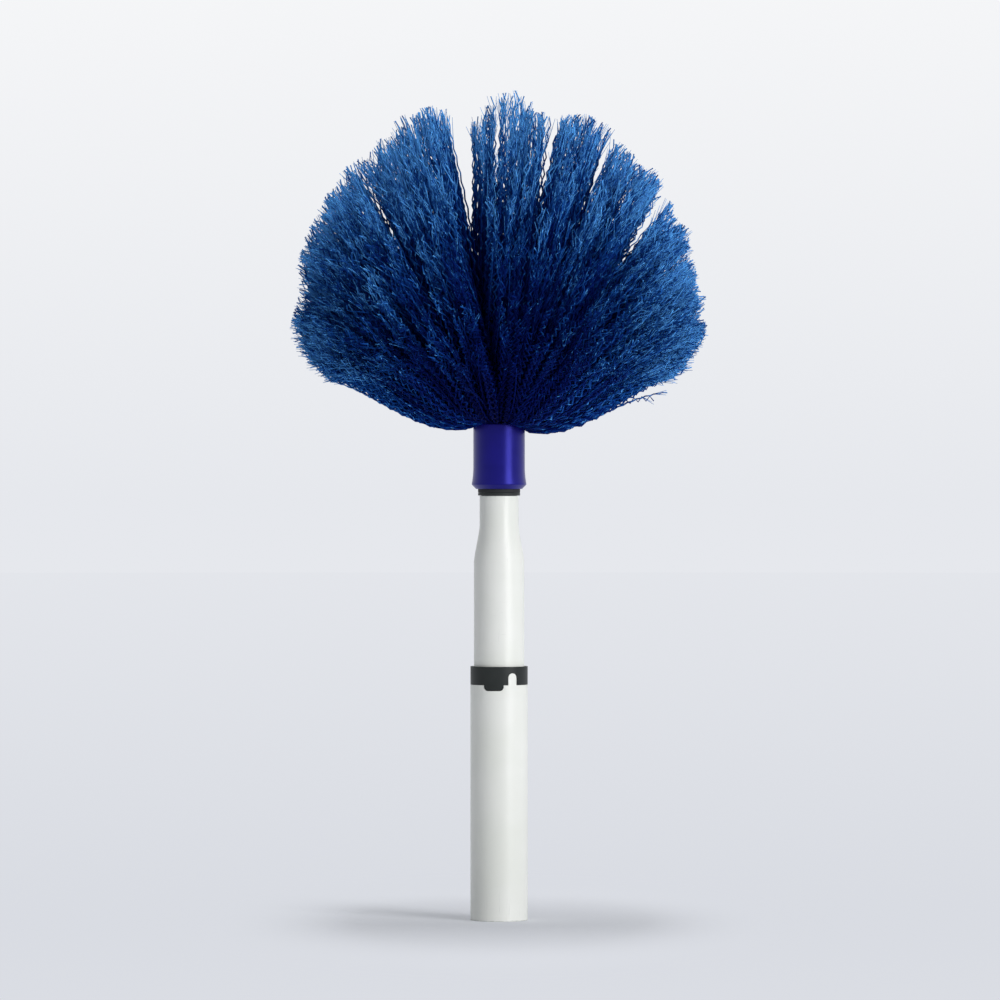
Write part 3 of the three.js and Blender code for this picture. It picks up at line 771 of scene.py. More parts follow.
upper_foot, upper_top = levels("upper_tube")
upper_radius = outer_radius("upper_tube")
lower_radius = outer_radius("lower_tube")
print("upper tube:", round(upper_foot, 2), "to", round(upper_top, 2), "radius", round(upper_radius, 2))

# %% [markdown]
# The inner stage of the pole is a straight tube whose top end is swaged: rolled down to a narrower neck
# through an eased cone. The same outline, offset by the wall, gives the bore.

# %% Upper tube
NECK_RADIUS = 8.5
NECK_LENGTH = 13.1
SHOULDER_LENGTH = 15.7
SHOULDER_STEPS = 14


def tube_side(offset):
    """Points up the side of the upper tube, set in from the outside."""
    shoulder_top = upper_top - NECK_LENGTH
    side = [(upper_radius - offset, upper_foot, CUT_ROUNDING)]
    for step in range(SHOULDER_STEPS + 1):
        along = step / SHOULDER_STEPS
        smooth = along * along * (3 - 2 * along)
        share = (along + smooth) / 2
        across = upper_radius + (NECK_RADIUS - upper_radius) * share
        side.append((across - offset, shoulder_top - SHOULDER_LENGTH * (1 - along), 0))
    side.append((NECK_RADIUS - offset, upper_top, CUT_ROUNDING))
    return side


upper_paint = white_paint("white_tube_upper", upper_foot)
upper_corners = tube_side(0) + tube_side(TUBE_WALL)[::-1]
upper_tube = turned_piece("upper_tube_painted", upper_corners, upper_paint)
stands_for(upper_tube, "upper_pole", "white_tube", "upper_tube")

# %% [markdown]
# The lower tube's mouth has two U-shaped slots and two arched tabs, which key the guide ring so that it
# cannot turn. They could be cut with Booleans, but rounded edges are hard to keep that way. Such a wall is
# drawn flat instead, as the unrolled sheet: distance round the pole against height.

# %% Unrolled walls
TONGUE_WIDTH = 8.6
TONGUE_DROP = 2.4
TONGUE_CORNER = 1.6
TONGUE_DIRECTIONS = (-11.5, 168.5)
TAB_WIDTH = 4.0
TAB_HEIGHT = 5.2
TAB_DIRECTIONS = (28.0, 208.0)
FIT_GAP = 0.25
SEAT_GAP = 0.15
ARCH_STEPS = 12
mouth = levels("lower_tube")[1] - TAB_HEIGHT
ring_foot = mouth + SEAT_GAP


def on_sheet(direction):
    """A direction round the pole, in degrees right of the front, as a distance along the sheet."""
    return math.radians(direction) * lower_radius


def arc(centre, radius, start, end):
    """Points of an arc in the unrolled sheet. Angles are in degrees."""
    turns = [math.radians(start + (end - start) * step / ARCH_STEPS) for step in range(ARCH_STEPS + 1)]
    return [(centre[0] + radius * math.cos(turn), centre[1] + radius * math.sin(turn)) for turn in turns]


def arch(direction, foot, grow):
    """The tab's outline from right to left: straight sides and a round top."""
    middle = on_sheet(direction)
    half = TAB_WIDTH / 2 + grow
    shoulder = mouth + TAB_HEIGHT - TAB_WIDTH / 2
    return [(middle + half, foot), *arc((middle, shoulder), half, 0, 180), (middle - half, foot)]


def tongue(direction, root, grow):
    """The tongue's outline from right to left: straight sides and two round lower corners."""
    middle = on_sheet(direction)
    half = TONGUE_WIDTH / 2 + grow
    low = ring_foot - TONGUE_DROP - grow
    corner = TONGUE_CORNER + grow
    right = arc((middle + half - corner, low + corner), corner, 0, -90)
    left = arc((middle - half + corner, low + corner), corner, -90, -180)
    return [(middle + half, root), *right, *left, (middle - half, root)]


print("the lower tube's mouth is at", round(mouth, 2), "mm")

# %% [markdown]
# The sheet is sliced into narrow columns, so that it can bend. Then every point goes to its place on the
# tube, a second skin is laid inside it, and the open edges between the two skins are closed and bevelled.

# %% Slicing a sheet
SEAM_DIRECTION = -82.0
SHEET_COLUMNS = 144
CUT_SNAP = 1e-5
sheet_left = on_sheet(SEAM_DIRECTION)
sheet_right = on_sheet(SEAM_DIRECTION + 360)


def sheet_edge(level, features=()):
    """An edge of a whole turn of sheet, from right to left, with the outlines of its features."""
    ordered = sorted(features, key=lambda points: -points[0][0])
    return [(sheet_right, level), *[p for points in ordered for p in points], (sheet_left, level)]


def sliced(outline):
    """A flat face with this outline, cut into columns."""
    shape = bmesh.new()
    shape.faces.new([shape.verts.new((along, 0.0, height)) for along, height in outline])
    for column in range(1, SHEET_COLUMNS):
        cut = sheet_left + (sheet_right - sheet_left) * column / SHEET_COLUMNS
        everything = shape.verts[:] + shape.edges[:] + shape.faces[:]
        plane = {"plane_co": (cut, 0, 0), "plane_no": (1, 0, 0)}
        bmesh.ops.bisect_plane(shape, geom=everything, dist=CUT_SNAP, **plane)
    return shape


print("width of a whole turn of sheet in mm:", round(sheet_right - sheet_left, 1))

# %% Rolling a sheet
SHEET_WELD = 0.0001
WALL_CREASE = math.radians(20)


def thicken(shape, inner):
    """Rolls a flat sheet up to the lower tube's radius and closes it to a wall with an inner radius."""
    skin = shape.faces[:]
    ends = {v for v in shape.verts if min(v.co.x - sheet_left, sheet_right - v.co.x) < SHEET_WELD}
    rim = [e for e in shape.edges if len(e.link_faces) == 1 and not ends.issuperset(e.verts)]
    inside = {}
    for vertex in shape.verts[:]:
        angle = vertex.co.x / lower_radius
        outward = Vector((math.sin(angle), -math.cos(angle), 0.0))
        rise = Vector((0.0, 0.0, vertex.co.z))
        vertex.co = outward * lower_radius + rise
        inside[vertex] = shape.verts.new(outward * inner + rise)
    for face in skin:
        shape.faces.new([inside[vertex] for vertex in reversed(face.verts)])
    for first, second in [edge.verts for edge in rim]:
        shape.faces.new([first, second, inside[second], inside[first]])
    bmesh.ops.remove_doubles(shape, verts=shape.verts, dist=SHEET_WELD)
    bmesh.ops.recalc_face_normals(shape, faces=shape.faces)


def rolled(name, outline, inner, material, rounding):
    """A piece of wall with an unrolled outline, an inner radius and rounded edges."""
    shape = sliced(outline)
    thicken(shape, inner)
    sharp = [e for e in shape.edges if len(e.link_faces) == 2 and e.calc_face_angle() > SHARP_ANGLE]
    style = {"segments": 2, "profile": 0.5, "affect": "EDGES", "clamp_overlap": True}
    bmesh.ops.bevel(shape, geom=sharp, offset=rounding, **style)
    shape.verts.index_update()
    places = [tuple(vertex.co) for vertex in shape.verts]
    faces = [[vertex.index for vertex in face.verts] for face in shape.faces]
    shape.free()
    return piece(name, places, faces, material, WALL_CREASE)


print("columns in a rolled wall:", SHEET_COLUMNS)

# %% [markdown]
# The outer stage stands on its cut foot. Its upper edge has the two slots for the ring's tongues, each a
# clearance larger than the tongue, and the two tabs that stand up into the ring's arched notches.

# %% Lower tube
slots = [tongue(turn, mouth, FIT_GAP) for turn in TONGUE_DIRECTIONS]
tabs = [arch(turn, mouth, 0.0) for turn in TAB_DIRECTIONS]
lower_outline = sheet_edge(0.0)[::-1] + sheet_edge(mouth, slots + tabs)
lower_bore = lower_radius - TUBE_WALL
lower_paint = white_paint("white_tube_lower", 0.0)
lower_tube = rolled("lower_tube_painted", lower_outline, lower_bore, lower_paint, CUT_ROUNDING)
stands_for(lower_tube, "lower_pole", "white_tube", "lower_tube")

# %% [markdown]
# The guide ring is a rolled wall too, with hanging tongues and arched notches along its lower edge. A thin
# sleeve inside it reaches down into the lower tube and steadies the upper one. The two are fused with a
# Boolean, as the real ring is one moulding. A Boolean leaves faces with many corners, which are cut into
# triangles here so that slivers among them can be found and dissolved.

# %% Fusing two pieces
QUAD = 4


def merged(first, second, operation="UNION", crease=SHARP_ANGLE):
    """The first piece with the second one joined to it or cut out of it, as one closed skin."""
    change = first.modifiers.new("merge", "BOOLEAN")
    change.operation = operation
    change.solver = "EXACT"
    change.object = second
    bpy.context.view_layer.update()
    graph = bpy.context.evaluated_depsgraph_get()
    mesh = bpy.data.meshes.new_from_object(first.evaluated_get(graph))
    first.modifiers.clear()
    first.data = mesh
    mesh.name = first.name
    bpy.data.objects.remove(second)
    shape = bmesh.new()
    shape.from_mesh(mesh)
    bmesh.ops.triangulate(shape, faces=[face for face in shape.faces if len(face.verts) > QUAD])
    bmesh.ops.dissolve_degenerate(shape, edges=shape.edges, dist=WELD * MM)
    shape.to_mesh(mesh)
    shape.free()
    mesh.shade_smooth()
    mesh.set_sharp_from_angle(angle=crease)
    print(first.name, "faces:", len(mesh.polygons))


print("slivers thinner than", WELD, "mm are dissolved after a Boolean")

# %% Guide ring
SLEEVE_SINK = 0.15
TOP_STEP = 0.02
RING_ROUNDING = 0.22
SLEEVE_ROUNDING = 0.15
sleeve_foot, ring_top = levels("guide_ring")
sleeve_bore = upper_radius + FIT_GAP
sleeve_radius = lower_bore - FIT_GAP
sleeve_top = ring_top - TOP_STEP

tongues = [tongue(turn, ring_foot, 0.0) for turn in TONGUE_DIRECTIONS]
notches = [arch(turn, ring_foot, FIT_GAP) for turn in TAB_DIRECTIONS]
ring_outline = sheet_edge(ring_foot, tongues + notches)[::-1] + sheet_edge(ring_top)
ring_bore = sleeve_radius - SLEEVE_SINK
guide_ring = rolled("guide_ring_moulded", ring_outline, ring_bore, moulding, RING_ROUNDING)
sleeve_corners = [
    (sleeve_bore, sleeve_foot, SLEEVE_ROUNDING),
    (sleeve_radius, sleeve_foot, SLEEVE_ROUNDING),
    (sleeve_radius, sleeve_top, 0),
    (sleeve_bore, sleeve_top, SOFT_ROUND),
]
merged(guide_ring, turned_piece("guide_sleeve", sleeve_corners, moulding), crease=WALL_CREASE)
stands_for(guide_ring, "lower_pole", "black_moulding", "guide_ring")

# %% [markdown]
# Screw threads and the wire that binds the filaments are the same shape at heart: a section swept along a
# helix. The Screw modifier could make it, but not with ends that run out. One Geometry Nodes tree makes
# them all. It bends a line of points into the helix, keeps the section upright and sweeps it, and it can
# thin the section out at both ends, as a thread runs out.

# %% Growing a mesh from a tree
def geometry_tree(name, inputs):
    return new_group("GeometryNodeTree", name, inputs, ["Geometry"], "NodeSocketGeometry")


def close_tree(tree, geometry, material):
    """Ends a tree: instances made real, smooth shading and a material."""
    real = place(tree, "GeometryNodeRealizeInstances", geometry)
    smooth = place(tree, "GeometryNodeSetShadeSmooth", real)
    shown = place(tree, "GeometryNodeSetMaterial", smooth, None, material)
    place(tree, "NodeGroupOutput", shown)


def grown(name, tree, values):
    """The plain mesh that a tree makes for these input values."""
    host = bpy.data.objects.new(name, bpy.data.meshes.new(name))
    bpy.context.scene.collection.objects.link(host)
    growth = host.modifiers.new("growth", "NODES")
    growth.node_group = tree
    for item in tree.interface.items_tree:
        if item.in_out == "INPUT" and item.name in values:
            growth[item.identifier] = values[item.name]
    bpy.context.view_layer.update()
    graph = bpy.context.evaluated_depsgraph_get()
    mesh = bpy.data.meshes.new_from_object(host.evaluated_get(graph))
    host.modifiers.clear()
    host.data = mesh
    mesh.name = name
    # Strands that are joined before they have a material leave an empty first slot.
    while mesh.materials[0] is None:
        mesh.materials.pop(index=0)
    print(name, "faces:", len(mesh.polygons), "slots:", len(mesh.materials))
    return host


print("a tree's inputs are set by identifier before it first runs")

# %% Winding tree
THREAD_SIDES = 4
RUN_OUT_TURNS = 0.3


def winding_tree(name, material):
    sizes = {"Radius": 0.006, "Pitch": 0.003, "Foot": 0.0, "Thickness": 0.001, "Run Out": 0.0}
    counts = {"Steps": 96, "Steps a Turn": 48, "Sides": THREAD_SIDES}
    tree, given = geometry_tree(name, {**sizes, **counts})
    index = place(tree, "GeometryNodeInputIndex")
    turns = index / given["Steps a Turn"]
    angle = turns * math.tau
    east = call("COSINE", angle) * given["Radius"]
    north = call("SINE", angle) * given["Radius"]
    line = place(tree, "GeometryNodeMeshLine", given["Steps"] + 1)
    helix = xyz(tree, east, north, given["Foot"] + turns * given["Pitch"])
    bent = place(tree, "GeometryNodeSetPosition", line, None, helix)
    curve = place(tree, "GeometryNodeMeshToCurve", bent)
    upright = place(tree, "GeometryNodeSetCurveNormal", curve, mode="Z_UP")
    to_end = call("MINIMUM", index, given["Steps"] - index) / given["Steps a Turn"]
    full = 1.0 - (1.0 - eased(to_end, 0.0, RUN_OUT_TURNS)) * given["Run Out"]
    section = place(tree, "GeometryNodeCurvePrimitiveCircle", given["Sides"], given["Thickness"])
    swept = place(tree, "GeometryNodeCurveToMesh", upright, section, full, True)
    close_tree(tree, swept, material)
    return tree


def wound(name, tree, radius, foot, pitch, thickness, turns, turn_steps, run_out=0.0, sides=THREAD_SIDES):
    """A winding from a level up, with sizes in mm. Thickness is the radius of its section."""
    values = {
        "Radius": radius * MM,
        "Pitch": pitch * MM,
        "Foot": foot * MM,
        "Thickness": thickness * MM,
        "Run Out": run_out,
        "Steps": turns * turn_steps,
        "Steps a Turn": turn_steps,
        "Sides": sides,
    }
    return grown(name, tree, values)


moulded_thread = winding_tree("moulded_thread", moulding)
print("nodes in the winding tree:", len(moulded_thread.nodes))

# %% [markdown]
# The coarse thread has the same pitch and turns on the tip and in the collar, so one function makes both
# ridges. A ridge starts a little inside its wall, so that the Boolean finds a clean crossing.

# %% Coarse thread
THREAD_PITCH = 3.0
THREAD_TURNS = 4
THREAD_HEIGHT = 0.68
THREAD_SINK = 0.2
THREAD_RUN_OUT = 0.75
TURN_STEPS = 48


def ridge(name, tree, radius, foot):
    """A ridge of the coarse thread, round a radius from a level up."""
    shape = {"pitch": THREAD_PITCH, "thickness": THREAD_HEIGHT + THREAD_SINK, "run_out": THREAD_RUN_OUT}
    return wound(name, tree, radius, foot, turns=THREAD_TURNS, turn_steps=TURN_STEPS, **shape)


print("height of the coarse thread in mm:", THREAD_TURNS * THREAD_PITCH)

# %% [markdown]
# The tip is a hollow plug pressed into the tube's neck. Its flange sits on the tube's end and the coarse
# thread above it carries the head. The plug, flange and core are one turned outline, and the ridge is
# fused to it.

# %% Threaded tip
THREAD_CORE = 6.2
THREAD_LEAD = 1.1
TIP_WALL = 1.6
TIP_CHAMFER = 0.6
TIP_SIDES = 96
FLANGE_THICKNESS = 1.2
FLANGE_ROUNDING = 0.25
plug_foot, tip_top = levels("threaded_tip")
flange_radius = outer_radius("threaded_tip")
flange_foot = upper_top + SEAT_GAP
flange_top = flange_foot + FLANGE_THICKNESS
plug_radius = NECK_RADIUS - TUBE_WALL - FIT_GAP
tip_hollow = THREAD_CORE - TIP_WALL
ridge_foot = tip_top - THREAD_TURNS * THREAD_PITCH - THREAD_LEAD

tip_corners = [
    (0, tip_top - TIP_WALL, 0),
    (tip_hollow, tip_top - TIP_WALL, FULL_ROUND),
    (tip_hollow, plug_foot, FINE_ROUND),
    (plug_radius, plug_foot, TIP_CHAMFER),
    (plug_radius, flange_foot, 0),
    (flange_radius, flange_foot, FLANGE_ROUNDING),
    (flange_radius, flange_top, FLANGE_ROUNDING),
    (THREAD_CORE, flange_top, FINE_ROUND),
    (THREAD_CORE, tip_top, TIP_CHAMFER),
    (0, tip_top, 0),
]
threaded_tip = turned_piece("threaded_tip_moulded", tip_corners, moulding, TIP_SIDES)
merged(threaded_tip, ridge("tip_ridge", moulded_thread, THREAD_CORE - THREAD_SINK, ridge_foot))
stands_for(threaded_tip, "upper_pole", "black_moulding", "threaded_tip")

# %% [markdown]
# A rubber washer lies on the flange, so that the collar does not work loose. It is a turned ring with well
# rounded edges. Only a thin black band of flange and washer shows until the head is unscrewed.

# %% Neck washer
WASHER_ROUNDING = 0.35
WASHER_REST = 0.02
THREAD_ROOM = 0.7
washer_bore = THREAD_CORE + THREAD_ROOM + FIT_GAP
washer_foot = flange_top + WASHER_REST
washer_top = levels("neck_washer")[1]
washer_radius = outer_radius("neck_washer")
washer_corners = [
    (washer_bore, washer_foot, SOFT_ROUND),
    (washer_radius, washer_foot, WASHER_ROUNDING),
    (washer_radius, washer_top, WASHER_ROUNDING),
    (washer_bore, washer_top, SOFT_ROUND),
]
washer = turned_piece("neck_washer_rubber", washer_corners, rubber)
stands_for(washer, "washer", "black_rubber", "neck_washer")

# %% [markdown]
# One outline holds the whole collar: the mouth that takes the washer, the threaded socket, the floor with
# the screw's hole and the cup that holds the filaments. Outside, a chamfer leads to a rim that flares out
# a little and eases into the straight body. The ridge of its thread lies half a pitch above the tip's
# ridge, so that the two slide past each other as the head is unscrewed.

# %% Sizes of the collar
COLLAR_RIM_STEP = 0.65
COLLAR_LIP = 0.6
COLLAR_CHAMFER = 1.9
COLLAR_RIM_HEIGHT = 0.6
COLLAR_FLARE = 7.0
COLLAR_WALL = 1.4
COLLAR_FLOOR = 2.0
CUP_DEPTH = 9.3
FLARE_STEPS = 10
collar_foot, collar_top = levels("collar")
rim_radius = outer_radius("collar")
collar_radius = rim_radius - COLLAR_RIM_STEP
cup_radius = collar_radius - COLLAR_WALL
cup_foot = collar_top - CUP_DEPTH
socket_top = cup_foot - COLLAR_FLOOR
socket_foot = washer_top + SEAT_GAP
seat_radius = flange_radius + FIT_GAP
rim_foot = collar_foot + COLLAR_CHAMFER
flare_foot = rim_foot + COLLAR_RIM_HEIGHT

flare = []
for step in range(FLARE_STEPS + 1):
    along = step / FLARE_STEPS
    flare.append((collar_radius + COLLAR_RIM_STEP * (1 - along) ** 2, flare_foot + COLLAR_FLARE * along, 0))
print("collar radius in mm:", round(collar_radius, 2), "and at its rim", round(rim_radius, 2))

# %% Collar
COLLAR_EDGE = 0.45
COLLAR_SIDES = 160
SCREW_HOLE = 1.75
collar_corners = [
    (seat_radius, collar_foot, FINE_ROUND),
    (seat_radius + COLLAR_LIP, collar_foot, FINE_ROUND),
    (rim_radius, rim_foot, FULL_ROUND),
    *flare,
    (collar_radius, collar_top, COLLAR_EDGE),
    (cup_radius, collar_top, COLLAR_EDGE),
    (cup_radius, cup_foot, FULL_ROUND),
    (SCREW_HOLE, cup_foot, TINY_ROUND),
    (SCREW_HOLE, socket_top, TINY_ROUND),
    (washer_bore, socket_top, SOFT_ROUND),
    (washer_bore, socket_foot, FINE_ROUND),
    (seat_radius, socket_foot, 0),
]
collar = turned_piece("collar_moulded", collar_corners, collar_gloss, COLLAR_SIDES)
collar_thread = winding_tree("collar_thread", collar_gloss)
socket_ridge = washer_bore + THREAD_SINK, ridge_foot + THREAD_PITCH / 2
merged(collar, ridge("collar_ridge", collar_thread, *socket_ridge))
stands_for(collar, "head", "indigo_collar", "collar")

# %% [markdown]
# A head like this holds thousands of crimped filaments. Four hanks of them are bound at their butts and
# sit in the collar's cup. They bend over its lip and fan out, and their tips end on an egg-shaped
# envelope. They also cling together in locks, and a few deep partings split the fan from front to back.
#
# Particles could make them, but a Geometry Nodes tree states the rule: each strand has a number, and its
# whole path is worked out from that number and from how far along it a point lies. Strands are spread by
# the golden ratio, which leaves no rows, and every random choice has a fixed seed.

# %% Sizes of the head
TIP_SPREAD = math.radians(77.5)
ROOT_SPREAD = math.radians(118)
HEAD_RADIUS = 91.0
HEAD_CROWN = 102.0
HEAD_BELLY = 44.5
EGG_RISE = 44.0
FAN_RISE = 3.1
egg_centre = collar_top + EGG_RISE
fan_centre = collar_top + FAN_RISE

head_sizes = {
    "First Turn": 0.0,
    "Crimp": 0.95 * MM,
    "Bow": 2.2 * MM,
    "Lock Share": 0.30,
    "Side Share": 0.5,
    "Front Parting": 8.0,
    "Front Lift": 0.3,
    # The next two values paint shade on strands that point to the front or back, and on low ones.
    "Front Shade": 0.48,
    "Low Shade": 0.12,
    # The next two values paint light on the outer strands and on the sides near the collar.
    "Outer Sheen": 1.1,
    "Side Light": 0.45,
    "Lock Streak": 0.22,
    # The next value paints a highlight on the crests of the crimp.
    "Crimp Glint": 0.14,
    "Right Sag": 0.2,
    "Root Radius": 0.16 * MM,
    "Belly Radius": 0.45 * MM,
    "Tip Radius": 0.30 * MM,
    "Hair Radius": 0.18 * MM,
    "Hair Spread": 3.0 * MM,
}
HANKS = 4
head_counts = {"Strands": 1100, "Steps": 26, "Locks": 110, "Seed": 11}
print("strands in all:", HANKS * head_counts["Strands"])

# %% [markdown]
# A parting is a side angle, in degrees right of upright, that pushes the strands on both sides of it
# apart. Between partings a tuft is worn a little shorter than its neighbours, or stands out where its
# share is below zero. Both are written by side angle, so they run through the fan from front to back, as
# a blow against a wall would leave them.

# %% Partings and tufts
PARTINGS = {-60: 0.3, -29.5: 0.7, -7: 2.2, -1.5: 0.6, 10.5: 1.3, 22: 1.1, 29.5: 0.7, 37: 1.7, 49: 0.6}
MAIN_PARTING = -7
PARTING_DRAW = 7.0
LEFT_TUFTS = {-57: 0.02, -26: 0.03, -4.6: 0.09, -0.5: -0.045}
RIGHT_TUFTS = {4: 0.025, 10: 0.02, 25: 0.03, 40.5: 0.03, 55: 0.03}
TUFT_WIDTH = 3.0


def side_angle(direction):
    """Degrees to the right of upright, seen from the front."""
    east, _, up = parts_of(direction)
    return call("ARCTAN2", east, up) * math.degrees(1)


def parted(side, frontal, front_width):
    """How many degrees the partings push a strand aside. The main one is wider towards the front."""
    push = 0.0
    for parting, width in PARTINGS.items():
        away = side - parting
        near = call("EXPONENT", call("ABSOLUTE", away) / -PARTING_DRAW)
        wide = frontal * front_width + width if parting == MAIN_PARTING else width
        push = call("SIGN", away) * near * wide + push
    return push


def worn_short(side):
    """The share of its length that a strand has lost, for its side angle."""
    lost = 0.0
    for middle, share in {**LEFT_TUFTS, **RIGHT_TUFTS}.items():
        away = (side - middle) / TUFT_WIDTH
        lost = call("EXPONENT", away * away * -1.0) * share + lost
    return lost


print("partings:", len(PARTINGS), "and tufts:", len(LEFT_TUFTS) + len(RIGHT_TUFTS))

# %% [markdown]
# Each random choice has a name, and its place in a list is added to the seed. So a strand always gets the
# same numbers, however many others there are. The directions of strands and locks fill a quarter of the
# fan evenly, and more of them point to the sides than to the front and back.

# %% Draws and directions
DRAWS = ["place", "wobble", "cut", "lock cut", "crimp", "bow", "curl", "crimp side", "bow side", "tone"]
DRAWS += ["hair side", "hair reach", "hair tone", "stray", "step", "swing", "fray", "stray cut"]
DRAWS += ["streak", "glint", "lock place", "lock wobble"]
TURN_WOBBLE = 0.012
GOLDEN = (math.sqrt(5) - 1) / 2
QUARTER = math.pi / 2


def random(given, number, draw, low=0.0, high=1.0):
    """A random number of its own for each strand, lock or hair."""
    seed = given["Seed"] + DRAWS.index(draw)
    return place(number.tree, "FunctionNodeRandomValue", low, high, number, seed, data_type="FLOAT")


def ray(polar, turn):
    """The direction at an angle from upright and a turn round the pole."""
    flat = call("SINE", polar)
    return xyz(polar.tree, flat * call("COSINE", turn), flat * call("SINE", turn), call("COSINE", polar))


def spread_out(given, number, count, owner=""):
    """The angle from upright, turn and share of one of a count of strands or locks."""
    share = (number + 0.5 + random(given, number, owner + "place", -0.5, 0.5)) / count
    polar = call("ARCCOSINE", 1.0 - share * (1.0 - math.cos(TIP_SPREAD)))
    wobble = random(given, number, owner + "wobble", -TURN_WOBBLE, TURN_WOBBLE)
    even = given["First Turn"] + (call("FRACT", number * GOLDEN) + wobble) * QUARTER
    turn = even - call("SINE", even * 2.0) * given["Side Share"] / 2
    return polar, turn, share


print("random draws:", len(DRAWS))

# %% [markdown]
# The envelope is an egg: the upper half of a tall ellipsoid on the lower half of a flat one. A strand ends
# where its direction meets the egg, which is the larger root of a quadratic for the half that it meets.

# %% Reach of the egg
def reach(upright):
    """How far the egg reaches from the fan's centre, for the cosine of the angle from upright."""
    flat = call("SQRT", 1.0 - upright * upright) / HEAD_RADIUS
    lift = egg_centre - fan_centre

    def meet(depth):
        up = upright / depth
        square = flat * flat + up * up
        half = up * (lift / depth)
        return (half + call("SQRT", half * half - square * ((lift / depth) ** 2 - 1))) / square

    high = meet(HEAD_CROWN)
    above = call("GREATER_THAN", high * upright, lift)
    return between(meet(HEAD_BELLY), high, above) * MM


print("egg in mm:", 2 * HEAD_RADIUS, "wide,", HEAD_CROWN + HEAD_BELLY, "high")

# %% [markdown]
# The rule of a strand starts from the direction of its tip, its aim. The tip is drawn a little towards the
# nearest lock and pushed aside by the partings. Strands and whole locks are cut unevenly, and a few stray
# strands are shorter still.

# %% Aim of a strand
STRAY_SHARE = 0.015
STRAY_CUT = 0.4
PARTING_FRAY = 0.4
STRAND_RAGGED = 0.06
LOCK_RAGGED = 0.05


class Aim:
    """Where a strand points and how long it is."""

    def __init__(self, given, locks, number):
        self.given, self.number, self.tree = given, number, number.tree
        self.tip_polar, self.turn, self.share = spread_out(given, number, given["Strands"])
        self.tip = ray(self.tip_polar, self.turn)
        self.lock = place(self.tree, "GeometryNodeSampleNearest", locks, self.tip)
        position = place(self.tree, "GeometryNodeInputPosition")
        sample = locks, position, self.lock
        lock_tip = place(self.tree, "GeometryNodeSampleIndex", *sample, data_type="FLOAT_VECTOR")
        self.to_lock = (lock_tip - self.tip) * given["Lock Share"]
        held = self.tip + self.to_lock
        self.east, north, self.up = parts_of(held)
        self.frontal = north**2
        self.side = side_angle(held) + self.chance("fray", -PARTING_FRAY, PARTING_FRAY)
        self.push = parted(self.side, self.frontal, given["Front Parting"]) * math.radians(1)
        self.stray = call("GREATER_THAN", self.chance("stray"), 1 - STRAY_SHARE)

    def chance(self, draw, low=0.0, high=1.0):
        """One of the strand's own random numbers."""
        return random(self.given, self.number, draw, low, high)

    def drawn(self, direction, held, opened):
        """A direction drawn towards the lock, and turned about the front axis away from the partings."""
        east, north, up = parts_of(vector_call("NORMALIZE", direction + self.to_lock * held))
        side = call("ARCTAN2", east, up) + self.push * opened
        flat = call("SQRT", east * east + up * up)
        return xyz(self.tree, flat * call("SINE", side), north, flat * call("COSINE", side))

    def length(self):
        end_up = parts_of(self.drawn(self.tip, 1.0, 1.0))[2]
        lock_cut = random(self.given, self.lock, "lock cut") ** 2 * LOCK_RAGGED
        ragged = self.chance("cut") ** 2 * STRAND_RAGGED + lock_cut + worn_short(self.side)
        return reach(end_up) * (1.0 - ragged - self.stray * self.chance("stray cut", 0.0, STRAY_CUT))


print("share of stray strands:", STRAY_SHARE)

# %% [markdown]
# From its tip inwards a strand leans out further, so that the outer ones bend down over the collar's lip.
# On the right side of the fan they hang a little lower. Crimp, bow and curl move the strand at right
# angles to its path. The crimp is a plain zigzag from step to step, and it starts a little way out.

# %% Course of a strand
STRAY_SWING = (-0.05, 0.14)
STEP_POWER = 0.75
LEAN_POWER = 2.2
CRIMP_START = (0.08, 0.35)
CRIMP_RANGE = (0.55, 1.25)
CURL_POWER = 3


class Course(Aim):
    """How a strand goes from the collar to its tip."""

    def along(self, step):
        """The share of the way to the tip. Step 0 is the butt and step 1 the start of the fan."""
        whole = call("MAXIMUM", step - 1.0, 0.0) / (self.given["Steps"] - 1.0)
        shift = call("SINE", whole * math.pi) * self.chance("step", -1.0, 1.0) / self.given["Steps"]
        return (whole + shift) ** STEP_POWER

    def polar(self, along):
        """The angle from upright, which is greater near the collar."""
        sag = call("MAXIMUM", self.east, 0.0) * self.given["Right Sag"]
        lean = self.tip_polar * (ROOT_SPREAD / TIP_SPREAD - 1.0)
        lean = lean * (1.0 + sag - self.frontal * self.given["Front Lift"])
        swing = self.stray * along * self.chance("swing", *STRAY_SWING)
        return self.tip_polar + lean * (1.0 - along) ** LEAN_POWER + swing

    def zigzag(self, step, along):
        """Goes from -1 to 1 and back with each step, and fades out near the collar."""
        return (call("MODULO", step, 2.0) * 2.0 - 1.0) * eased(along, *CRIMP_START)

    def ripple(self, step, along, sideways):
        """Crimp, bow and curl, which move the strand sideways."""
        crimp = self.zigzag(step, along) * self.given["Crimp"] * self.chance("crimp", *CRIMP_RANGE)
        bow = call("SINE", along * math.pi) * self.chance("bow", -1.0, 1.0)
        curl = along**CURL_POWER * self.chance("curl", -1.0, 1.0)
        bent = sideways(self.chance("bow side", 0.0, math.tau)) * ((bow + curl) * self.given["Bow"])
        return sideways(self.chance("crimp side", 0.0, math.tau)) * crimp + bent


print("a strand leans out to", round(math.degrees(ROOT_SPREAD)), "degrees at its root")

# %% [markdown]
# Now the points of a strand can be placed. They start in the bound butt, at a radius that fills its ring
# evenly. The fan starts above the collar's mouth. Upright strands keep clear of the core below them, and
# the lowest ones rise a little to get over the lip.

